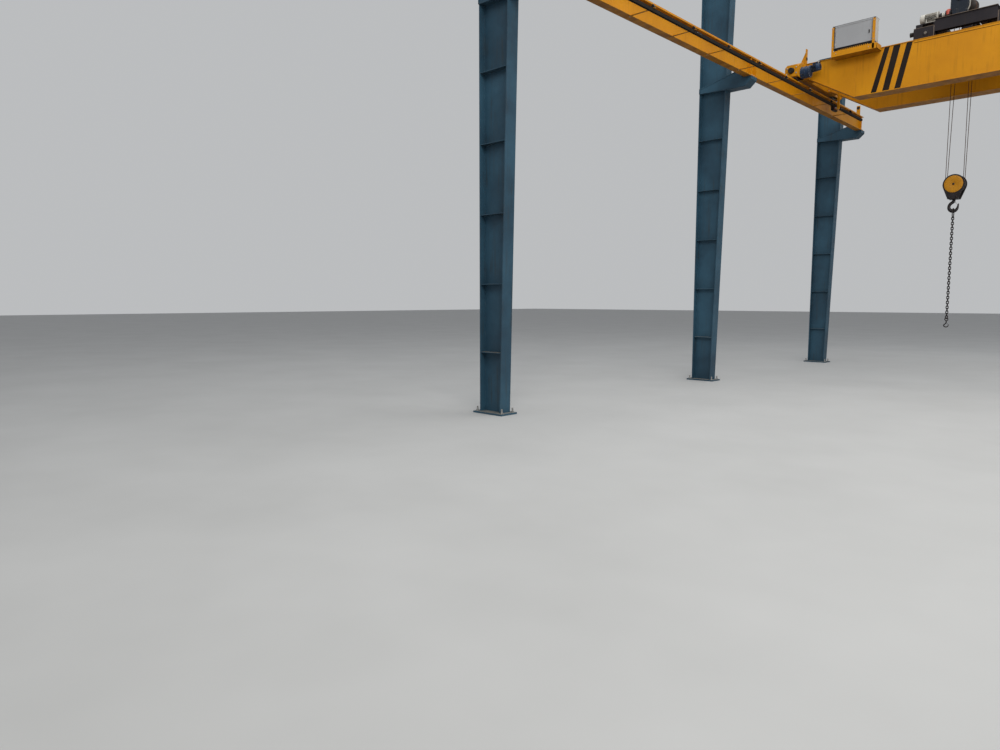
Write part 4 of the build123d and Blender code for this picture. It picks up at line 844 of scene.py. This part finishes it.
for start, end, radius in ((-0.056, -0.01, 0.148), (-0.05, 0.056, 0.141), (0.01, 0.05, 0.148)):
    small = radius - 0.006
    oval_layer("gear_paint", ((start, small), (start + 0.006, radius), (end - 0.006, radius), (end, small)))
oval_layer("motor_alloy", ((-0.01, 0.158), (-0.008, 0.16), (0.008, 0.16), (0.01, 0.158)))
gear.use("gear_paint")
for out in (Y, -Y):
    gear.lathe(drum_axis, out, SHAFT_COVER, 48)
gear.lathe(drum_axis, -Y, END_CAP, 40)
flange = [X * FLANGE_R * side + Z * z for side in (-1, 1) for z in (-0.15, -0.075, 0.0)]
flange += [polar(X, -Z, math.degrees(turn), FLANGE_R) - Z * AXLE_DROP for turn in (0.6, 1.2, 1.94, 2.54)]
for spot in flange:
    gear.bolt(drum_axis + spot - Y * 0.01, -Y, 0.006)
gear.bolt_ring(drum_axis - Y * 0.0745, X, Z, 0.067, range(22, 382, 45), -Y, 0.006)
foot = ((-0.112, 6.79), (0.112, 6.79), (0.1, 6.95), (-0.1, 6.95))
gear.use("gear_paint").plate([(HOOK_X + x, z) for x, z in foot], MACHINE_Y - 0.06, 0.12)
gear.slab(HOOK_X, MACHINE_Y, 0.115, 0.075, DECK_SKIN_Z, 6.8)
gear.lathe(worm_axis, X, both_sides(WORM_HALF), 40)
for side in (-1, 1):
    gear.bolt_ring(worm_axis + X * side * 0.124, Y, Z, 0.037, range(30, 390, 60), X * side, 0.006)
    for dy in (-0.055, 0.055):
        gear.bolt((HOOK_X + side * 0.104, MACHINE_Y + dy, 6.8), Z, 0.009)
gear.bolt(drum_axis + Vector((0.03, 0, 0.1595)), Z, 0.01)
gear.make("cast_hoist_gearbox", "crab", bevel=0.0012, replaces="hoist_gearbox")

# The drum's far bearing, the ropes' anchorages and the crab's drive
bearing = Shape("drive_paint")
stand = Vector((HOOK_X, BEARING_Y, DRUM_Z))
bearing.lathe(stand, Y, both_sides([(-0.03, 0.036), (-0.03, 0.052), (-0.026, 0.056)]), 40, solid=False)
for side in (-1, 1):
    for dy in (-0.028, 0.028):
        bearing.bolt((HOOK_X + side * 0.155, BEARING_Y + dy, FOOT_Z), Z, 0.012)
    bearing.bolt(stand + Vector((side * 0.044, 0, 0.06)), Z, 0.01)
bearing.make("drum_bearing", "crab", bevel=0.001)

SOCKET = ((-0.04, 0.007), (-0.036, 0.011), (-0.01, 0.013), (0.0, 0.013))
tie = Shape("crab_paint")
for end in (-1, 1):
    low = Vector((EQUALISER_X, BRIDGE_Y + end * 0.15, EQUALISER_Z))
    tie.use("zinc").lathe(low, Z, SOCKET, 20)
    tie.use("rope_steel").pin(low - Z * 0.05, Z, 0.0065, 0.02, 12)
    for dx in (-0.045, 0.045):
        tie.bolt((EQUALISER_X + dx, BRIDGE_Y + end * 0.278, FOOT_Z), Z, 0.012)
tie.make("rope_anchorages", "crab")

CRAB_LAYERS = (
    (0.0, 0.014, 0.0), (0.014, 0.04, 0.007), (0.04, 0.056, 0.0), (0.056, 0.083, 0.007), (0.083, 0.095, 0.0),
)
crab_gear = Shape("drive_paint")
axle = Vector((CRAB_WHEEL_X["right"], 3.6877, CRAB_AXLE_Z))
gear_case(crab_gear, axle, 0.078, axle + Z * 0.1, 0.068, X, -Y, CRAB_LAYERS)
face = axle - Y * 0.095
crab_gear.bolt_ring(face, X, Z, 0.067, range(180, 388, 26), -Y, 0.007)
motor(crab_gear, "drive_paint", "drive_paint", face + Z * 0.1, -Y, -X, 0.062, 0.15, 0.045, 26)
crab_gear.make("geared_crab_drive", "crab", bevel=0.001, replaces="crab_drive")

# Crab frame: rubber buffers, hub plates, pale edge strips as painted highlight and worn steel, deck bolts and
# beads
CRAB_BUFFER = (
    (0, 0.0425), (0.01, 0.0425), (0.014, 0.041), (0.058, 0.041), (0.062, 0.0425), (0.07, 0.0425),
    (0.073, 0.038),
)
HUB_PLATE = ((0, 0.0265), (0, 0.05), (0.008, 0.048), (0.009, 0.0265), (0, 0.0265))
trim = Shape("crab_paint")
for girder_y in GIRDER_Y.values():
    for end_x, end in zip(CRAB_X, (-1, 1)):
        place = Vector((end_x, girder_y, CRAB_BUFFER_Z))
        trim.use("rubber_black").lathe(place, X * end, CRAB_BUFFER, 36)
        for dy in (-0.045, 0.045):
            trim.bolt(place + Y * dy + Z * 0.052, X * end, 0.01)
        for face in (-1, 1):
            if face > 0 and girder_y > BRIDGE_Y and end > 0:
                continue  # the drive's gear case is there
            hub = Vector((end_x - end * 0.2, girder_y + face * 0.062, CRAB_AXLE_Z))
            trim.use("crab_paint").lathe(hub, Y * face, HUB_PLATE, 28, solid=False)
            spot = hub + Y * face * 0.009
            trim.bolt_ring(spot, X, Z, 0.038, (90, 210, 330), Y * face, 0.006, surface="crab_paint")
    for face in (-1, 1):
        y = girder_y + face * 0.063
        bead(trim.use("crab_paint"), (-3.58, y, 6.766), (-2.6, y, 6.766), 0.003)
        # Pale steel strips along the frame's edges: painted highlight on the edges, partly worn bare steel.
        lip = girder_y + face * 0.084
        trim.use("edge_highlight_steel").box((-3.58, lip, 6.772), (-2.6, lip + face * 0.002, 6.7805))
        lip = girder_y + face * 0.062
        for low_x, high_x in ((-3.93, -3.6), (-2.58, -2.25)):
            trim.box((low_x, lip, 6.672), (high_x, lip + face * 0.002, 6.6805))
        for x in (-3.5915, -2.5885):
            trim.box((x - 0.007, y, 6.485), (x + 0.007, y + face * 0.003, 6.675))
for x in (-3.875, -2.305):
    for row in range(6):
        trim.bolt((x, 2.65 + row * 0.18, DECK_Z), Z, 0.012)
trim.make("crab_trim", "crab")

# Control cabinet: door seams, hinges, lock, a strip over the door, a near-black strip under it as painted
# shade, and lifting eyes
DOOR_Y = 2.033
LEFT, RIGHT, LOW, HIGH = -5.25, -4.54, 6.525, 6.965
SEAM_IN, SEAM = 0.02, 0.012
LOCK = ((0, 0.016), (0.004, 0.016), (0.006, 0.013), (0.006, 0.006), (0.004, 0.005))
panel = Shape("cabinet_paint")
for z in (LOW + SEAM_IN, HIGH - SEAM_IN - SEAM):
    panel.box((LEFT + SEAM_IN, DOOR_Y - 0.004, z), (RIGHT - SEAM_IN, DOOR_Y + 0.002, z + SEAM))
for x in (LEFT + SEAM_IN, RIGHT - SEAM_IN - SEAM):
    low, high = LOW + SEAM_IN + SEAM, HIGH - SEAM_IN - SEAM
    panel.box((x, DOOR_Y - 0.004, low), (x + SEAM, DOOR_Y + 0.002, high))
panel.box((LEFT, 2.0335, HIGH - 0.021), (RIGHT, 2.0445, HIGH + 0.0005))
panel.use("zinc")
for z in (LOW + 0.09, HIGH - 0.09):
    panel.pin((LEFT + 0.015, DOOR_Y + 0.003, z - 0.03), Z, 0.007, 0.06, 16)
lock = Vector((RIGHT - 0.065, DOOR_Y, (LOW + HIGH) / 2))
panel.lathe(lock, -Y, LOCK, 24)
for x in (-5.1, -4.76):
    eye = Vector((x, 2.1, 6.971))
    panel.lathe(eye, Z, ((0, 0.016), (0.006, 0.014)), 20)
    panel.tube(arc(eye + Z * 0.017, X, Z, 0.01, 0, 345, 23), 0.0035, 8, closed=True)
panel.use("black_band").box(lock + Vector((-0.008, -0.014, -0.055)), lock + Vector((0.008, -0.005, 0.01)))
# A near-black strip under the door: painted shade in the gap there, where the vents are.
panel.use("black_and_painted_shade").box((LEFT + 0.004, 2.0345, LOW - 0.04), (RIGHT - 0.004, 2.0445, LOW + 0.019))
panel.make("cabinet_fittings", "bridge", bevel=0.0008)

# The cabinet's tray and posts, with pale covers at its sides as painted light on them, and a row of teeth
# under its door
TRAY_LOW, TRAY_HIGH = Vector((-5.29, 2.005, 6.38)), Vector((-4.45, 2.275, 6.48))
SHEET = 0.006
FLOOR_Z = 6.386
FRONT, FRONT_IN = 2.005, 2.011
POST_SPANS = ((0, 0.0397), (0, SHEET), (0.0005, 0.0055))
stand = Shape("crane_paint")
stand.box(TRAY_LOW, (TRAY_HIGH.x, TRAY_HIGH.y, TRAY_LOW.z + SHEET))
for y in (TRAY_LOW.y, TRAY_HIGH.y - SHEET):
    stand.box((TRAY_LOW.x, y, TRAY_LOW.z), (TRAY_HIGH.x, y + SHEET, TRAY_HIGH.z))
for x in (TRAY_LOW.x, TRAY_HIGH.x - SHEET):
    stand.box((x, TRAY_LOW.y, TRAY_LOW.z), (x + SHEET, TRAY_HIGH.y, TRAY_HIGH.z))
for x, out in ((-5.29, 1), (-4.5, -1)):
    post, wall, cover = [sorted((x + out * a, x + out * b)) for a, b in POST_SPANS]
    stand.use("crane_paint").box((post[0], FRONT, FLOOR_Z), (post[1], FRONT_IN, 6.94))
    stand.box((wall[0], FRONT, FLOOR_Z), (wall[1], 2.045, 6.94))
    stand.box((wall[0], 2.045, FLOOR_Z), (wall[1], 2.22, 6.478))
    # Pale cream covers on the cabinet's sides: painted light on sides that share the front's grey.
    stand.use("motor_alloy").box((cover[0], 2.0455, 6.53), (cover[1], 2.219, 6.962))
    for z in (6.905, 6.7, 6.56):
        stand.bolt((x + out * 0.021, FRONT, z), -Y, 0.008)
    for z in (6.56, 6.75, 6.93):
        stand.bolt((x + out * 0.0005, 2.19, z), X * -out, 0.006)
stand.use("crane_paint")
for x in (-5.15, -4.64):
    stand.slab(x, 2.14, 0.03, 0.075, FLOOR_Z, 6.5248)
for tooth in range(16):
    x = -5.165 + tooth * 0.036
    stand.box((x, 2.0056, 6.4795), (x + 0.014, 2.0105, 6.5))
for x in (-5.2, -4.6):
    stand.bolt((x, FRONT, 6.43), -Y, 0.008)
stand.make("cabinet_frame", "bridge", bevel=0.0012, replaces="cabinet_platform")

# Collector: yellow arm, black shoe and cap, red insulators
ARM_X, ARM_Y = CONDUCTOR_X + 0.082, 3.05
PLATE_X = -5.8865
INSULATOR = ((0, 0.016), (0.004, 0.02), (0.008, 0.014), (0.012, 0.02), (0.016, 0.014), (0.019, 0.014))
contact = Shape("collector_steel").use("crane_paint")
for x, half_x, half_y, low, high in (
    (ARM_X, 0.02, 0.02, 5.61, 6.3), (-5.69625, 0.19825, 0.02, 6.26, 6.3),
    (-5.514, 0.016, 0.02, 5.61, 5.65), (PLATE_X - 0.004, 0.004, 0.055, 6.245, 6.304),
):
    contact.slab(x, ARM_Y, half_x, half_y, low, high)
contact.plate(((-5.62, 6.2605), (-5.4985, 6.2605), (-5.4985, 6.14)), ARM_Y - 0.004, 0.008)
contact.use("black_band")
contact.slab(CONDUCTOR_X, ARM_Y, 0.03, 0.11, 5.59, 5.656)
contact.slab(CONDUCTOR_X, ARM_Y, 0.037, 0.12, 5.656, 5.67)
for dy in (-0.09, 0, 0.09):
    contact.lathe((CONDUCTOR_X, ARM_Y + dy, 5.5905), -Z, ((0, 0.012), (0.006, 0.011)), 16)
contact.use("zinc").slab(-5.50475, ARM_Y, 0.00725, 0.095, 5.618, 5.643)
for dy in (-0.07, 0.07):
    contact.use("brake_paint").lathe((-5.5305, ARM_Y + dy, 5.63), X, INSULATOR, 20)
    contact.bolt((-5.4975, ARM_Y + dy, 5.6305), X, 0.007)
for dy in (-0.04, 0.04):
    contact.bolt((PLATE_X, ARM_Y + dy, 6.275), X, 0.01)
contact.make("collector_arm", "bridge", bevel=0.001, replaces="collector")

# Chain sling: the ring on the hook, welded round links and the hook at its foot
LINKS = 41
LINK_STEP = 0.0477
MASTER_Z = 3.277816
FIRST_LINK_Z = 3.17476
END_HOOK_Z = FIRST_LINK_Z - (LINKS - 1) * LINK_STEP - 0.04203
WIRE = 0.008


def stadium(centre, wide_axis, half_length, bend, steps):
    """The middle line of a link: two half rounds joined by straight sides."""
    ends = arc(centre + Z * half_length, wide_axis, Z, bend, 0, 180, steps)
    return ends + arc(centre - Z * half_length, wide_axis, Z, bend, 180, 360, steps)


chain = Shape("forged_steel")
chain.tube(stadium(Vector((HOOK_X, BRIDGE_Y, MASTER_Z)), Y, 0.03, 0.059, 12), 0.009, closed=True)
for number in range(LINKS):
    middle = Vector((HOOK_X, BRIDGE_Y, FIRST_LINK_Z - number * LINK_STEP))
    wide = Y if number % 2 else X
    chain.tube(stadium(middle, wide, 0.013, 0.019, 8), WIRE, 10, closed=True)
    chain.tube(arc(middle - wide * 0.019, Z, wide, 0.001, 0, 180, 2), 0.0088, 8)
eye = Vector((HOOK_X, BRIDGE_Y, END_HOOK_Z))
chain.tube(arc(eye, X, Z, 0.028, 0, 345, 23), WIRE, closed=True)
hook_line = smooth([
    (0.0, -0.028, 0.01), (0.0, -0.055, 0.0105), (-0.004, -0.076, 0.0105), (-0.02, -0.092, 0.01),
    (-0.038, -0.11, 0.0095), (-0.0395, -0.125, 0.01), (-0.03, -0.142, 0.0105), (-0.01, -0.1505, 0.0105),
    (0.014, -0.149, 0.01), (0.031, -0.135, 0.009), (0.037, -0.118, 0.007), (0.04, -0.1, 0.005),
], 4)
chain.tube([eye + X * x + Z * z for x, z, r in hook_line], [r for x, z, r in hook_line])
catch = ((0.004, -0.066), (0.02, -0.088), (0.036, -0.104))
chain.tube([eye + X * x + Z * z for x, z in catch], 0.0022, 8)
chain.make("sling_chain", "hook", replaces="chain_sling")

# Hook: forged, with its nut and safety catch; rows of x, z and the section's two half widths
hook_line = smooth([
    (0.0, 0.222, 0.0275, 0.0275), (0.0, 0.15, 0.0275, 0.0275), (0.0, 0.118, 0.029, 0.0265),
    (-0.005, 0.098, 0.03, 0.025), (-0.024, 0.08, 0.03, 0.024), (-0.05, 0.06, 0.029, 0.024),
    (-0.069, 0.034, 0.0275, 0.024), (-0.077, 0.0, 0.0275, 0.0245), (-0.072, -0.036, 0.03, 0.025),
    (-0.048, -0.066, 0.033, 0.025), (-0.014, -0.082, 0.034, 0.025), (0.022, -0.08, 0.0325, 0.024),
    (0.05, -0.06, 0.028, 0.021), (0.067, -0.03, 0.022, 0.018), (0.074, 0.002, 0.017, 0.015),
    (0.079, 0.032, 0.013, 0.012), (0.082, 0.052, 0.008, 0.008), (0.083, 0.056, 0.002, 0.002),
], 5)
NUT = ((0, 0.044), (0.003, 0.046), (0.022, 0.046), (0.027, 0.038), (0.027, 0.024), (0.034, 0.022))
bowl = Vector((HOOK_X, BRIDGE_Y, BOWL_Z))
rings = []
for i, (x, z, thick, wide) in enumerate(hook_line):
    before, after = hook_line[max(i - 1, 0)], hook_line[min(i + 1, len(hook_line) - 1)]
    out = Vector((after[0] - before[0], 0, after[1] - before[1])).normalized().cross(Y)
    rings.append([bowl + Vector((x, 0, z)) + polar(out * thick, Y * wide, 18 * k) for k in range(20)])
hook = Shape("forged_steel")
hook.loft(rings)
hook.lathe((HOOK_X, BRIDGE_Y, 3.6103), Z, NUT, 6)
hook.use("zinc")
for y in (-0.016, 0.016):
    wire = ((0.02, y, 0.088), (0.045, y, 0.06), (0.066, y * 0.5, 0.036))
    hook.tube([bowl + Vector(p) for p in wire], 0.0028, 8)
hook.tube([bowl + Vector((0.018, y, 0.092)) for y in (-0.028, 0.028)], 0.005, 10)
hook.make("forged_hook", "hook", replaces="hook")

# Hook block: dark tapering side plates, smaller yellow covers and the crosshead between them
PLATE_Y = 0.085
COVER = (
    (0, 0.159), (0.004, 0.161), (0.009, 0.159), (0.013, 0.15), (0.0145, 0.12), (0.0145, 0.04), (0.011, 0.034),
)
BOSS = ((0, 0.02), (0.006, 0.02), (0.008, 0.016))
block = Shape("block_paint").use("forged_steel")
block.slab(HOOK_X, BRIDGE_Y, 0.08, PLATE_Y, 3.54, 3.61)
for side in (-1, 1):
    out = Y * side
    inner = Vector((HOOK_X, BRIDGE_Y, BLOCK_Z)) + out * PLATE_Y
    face = inner + out * 0.02
    outline = [Vector((HOOK_X + x, inner.y, 3.54)) for x in (-0.09, 0.09)]
    block.use("forged_steel").prism(outline + arc(inner, X, Z, 0.186, -21.4, 201.4, 40), out * 0.02)
    block.lathe(face + out * 0.01, out, BOSS, 24)
    for x in (-0.06, 0.06):
        block.bolt((HOOK_X + x, face.y, 3.575), out, surface="forged_steel")
    block.use("block_paint").lathe(face, out, COVER, 64)
    spots = [22.5 + 45 * i for i in range(8)]
    block.bolt_ring(face + out * 0.0135, X, Z, 0.14, spots, out, 0.008, surface="block_paint")
block.make("block_covers", "hook_block", bevel=0.002, replaces="hook_block_frame")

SHEAVE_HALF = (
    (-0.022, 0.034), (-0.022, 0.055), (-0.007, 0.062), (-0.006, 0.128), (-0.019, 0.138), (-0.02, 0.166),
    (-0.018, 0.168), (-0.014, 0.168), (-0.0065, 0.1475), (-0.004, 0.1445),
)


sheaves = Shape("drum_steel")
bights = Shape("rope_steel")
for offset in (-SHEAVE_Y, SHEAVE_Y):
    middle = Vector((HOOK_X, BRIDGE_Y + offset, BLOCK_Z))
    sheaves.lathe(middle, Y, both_sides(SHEAVE_HALF, [(0, 0.1437)]), 64, solid=False)
    laid_rope(bights, arc(middle, X, Z, 0.15, 180, 360, 60))
sheaves.pin((HOOK_X, BRIDGE_Y, BLOCK_Z), Y, 0.035, 0.0849, 32, start=-0.0849)
sheaves.make("grooved_sheaves", "hook_block", replaces="block_sheaves")
bights.make("sheave_ropes", "hook_block", smooth=80)

# Ropes: four falls from the drum and the equaliser down to the block, attached to no body
for name, low_x, top_x, spread, top_z in (
    ("drum_ropes", HOOK_X - 0.15, HOOK_X - 0.1263, 0.2, DRUM_Z),
    ("equaliser_ropes", EQUALISER_X, EQUALISER_X, 0.15, EQUALISER_Z),
):
    falls = Shape("rope_steel")
    for end in (-1, 1):
        top = (top_x, BRIDGE_Y + end * spread, top_z)
        low = (low_x, BRIDGE_Y + end * SHEAVE_Y, BLOCK_Z)
        laid_rope(falls, straight(top, low, 0.0125))
    piece = falls.make(f"laid_{name}", None, smooth=80, replaces=name)
    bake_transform(piece)


# Wheels
def wheel_rows(half_tread, flange, radius, flange_radius, hub, axle, reach):
    """A double-flanged wheel's section with its axle."""
    edge = half_tread + flange
    return both_sides([
        (-reach, axle - 0.004), (-reach + 0.004, axle), (-edge - 0.01, axle),
        (-edge - 0.01, hub - 0.003), (-edge - 0.007, hub), (-half_tread * 0.55, hub + 0.004),
        (-half_tread * 0.5, radius - 0.024), (-edge, radius - 0.018), (-edge, flange_radius - 0.003),
        (-edge + 0.003, flange_radius), (-edge + flange * 0.55, flange_radius),
        (-half_tread - 0.001, radius + 0.003), (-half_tread + 0.003, radius),
    ])


for side, side_name in SIDES:
    for end_name, wheel_y in WHEEL_Y.items():
        wheel = Shape("wheel_steel")
        rows = wheel_rows(0.03, 0.015, 0.125, 0.14, 0.052, 0.03, 0.105)
        wheel.lathe((side * RAIL_X, wheel_y, AXLE_Z), X, rows, 64)
        node = f"bridge_wheel_{side_name}_{end_name}"
        wheel.make(f"turned_{node}", node, replaces=node)
for name, wheel_x in CRAB_WHEEL_X.items():
    wheel = Shape("wheel_steel")
    rows = wheel_rows(0.024, 0.012, 0.08, 0.09, 0.04, 0.025, 0.046)
    for girder_y in GIRDER_Y.values():
        wheel.lathe((wheel_x, girder_y, CRAB_AXLE_Z), Y, rows, 56)
    rows = both_sides([(-0.722, 0.022), (-0.719, 0.025)])
    wheel.lathe((wheel_x, BRIDGE_Y, CRAB_AXLE_Z), Y, rows, 32)
    node = f"crab_wheelset_{name}"
    wheel.make(f"turned_{node}", node, replaces=node)

# Drum with its grooves and wound rope
PITCH = 0.013
DRUM_END = (
    (0, 0.1), (0, 0.149), (0.002, 0.15), (0.012, 0.15), (0.014, 0.148), (0.014, 0.06), (0.02, 0.055),
    (0.04, 0.05), (0.04, 0.035), (0.1, 0.035), (0.104, 0.031), (0.104, 0),
)
drum = Shape("drum_steel")
centre = Vector((HOOK_X, BRIDGE_Y, DRUM_Z))
groove = []
for i in range(31):
    along = -0.195 + i * PITCH
    groove += [(along, 0.1195), (along + 0.0035, 0.1168), (along + 0.0065, 0.116), (along + 0.0095, 0.1168)]
rows = [(-0.296, 0.114), (-0.2, 0.114)] + groove + [(0.21, 0.114), (0.296, 0.114)]
drum.lathe(centre, Y, rows, 56, solid=False)
for out in (-Y, Y):
    drum.use("drum_steel").lathe(centre + out * 0.296, out, DRUM_END, 56, solid=False)
    spots = range(0, 360, 45)
    drum.bolt_ring(centre + out * 0.31, X, Z, 0.128, spots, out, 0.01, surface="drum_steel")
    for i in range(7):
        wound = centre + out * (0.206 + i * PITCH)
        drum.use("rope_steel").tube(arc(wound, X, Z, 0.1215, 0, 355, 71), 0.006, 8, closed=True)
drum.make("grooved_drum", "drum", replaces="rope_drum")

# Floor, background and lamps
g = material_graph("floor_pale")
patches = g.ramp(g.noise(g.place(), 0.6, 3.0), 0.3, 0.7)
colour = g.mix(patches, rgb(0.46, 0.46, 0.45), rgb(0.5, 0.5, 0.49))
shader = g.add("BsdfPrincipled", {"Base Color": colour, "Roughness": 0.85})
g.add("OutputMaterial", {"Surface": shader})
mesh = bmesh.new()
bmesh.ops.create_grid(mesh, x_segments=4, y_segments=4, size=90.0)
data = bpy.data.meshes.new("floor")
mesh.to_mesh(data)
mesh.free()
data.materials.append(g.block)
floor = bpy.data.objects.new("floor", data)
floor.location.z = -0.001
bpy.context.scene.collection.objects.link(floor)
floor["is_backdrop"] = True

# The world lights softly, and looks grey to the camera and in reflections
g = Graph(bpy.data.worlds.new("studio"))
bpy.context.scene.world = g.block
soft = g.add("Background", {"Color": rgb(0.92, 0.95, 1.0), "Strength": 0.42})
seen = g.add("Background", {"Color": rgb(0.5, 0.51, 0.52), "Strength": 1.0})
camera_ray, glossy_ray, through_ray = [
    g.add("LightPath", out=f"Is {kind} Ray") for kind in ("Camera", "Glossy", "Transmission")
]
shown = g.math("MAXIMUM", g.math("MAXIMUM", camera_ray, glossy_ray), through_ray)
g.add("OutputWorld", {"Surface": g.add("MixShader", {0: shown, 1: soft, 2: seen})})


def area_light(name, place, target, size, energy, colour):
    data = bpy.data.lights.new(name, "AREA")
    data.shape = "RECTANGLE"
    data.size, data.size_y = size
    data.energy = energy
    data.color = colour
    lamp = bpy.data.objects.new(name, data)
    lamp.location = place
    lamp.rotation_euler = (Vector(target) - Vector(place)).to_track_quat("-Z", "Y").to_euler()
    bpy.context.scene.collection.objects.link(lamp)


area_light("key", (4.0, -14.0, 13.0), (-3.0, 1.0, 5.5), (9.0, 7.0), 1450.0, (1.0, 0.98, 0.94))
area_light("sky", (0.0, 0.0, 16.0), (0.0, 0.0, 0.0), (16.0, 16.0), 1500.0, (0.95, 0.98, 1.0))
area_light("fill", (14.0, -9.0, 6.0), (-3.0, 2.0, 6.0), (7.0, 4.0), 680.0, (1.0, 0.95, 0.88))

bpy.context.scene.view_settings.view_transform = "Standard"

scene_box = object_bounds()
rows = [[[round(float(v), 4) for v in corner] for corner in box] for box in (cad_box, scene_box)]
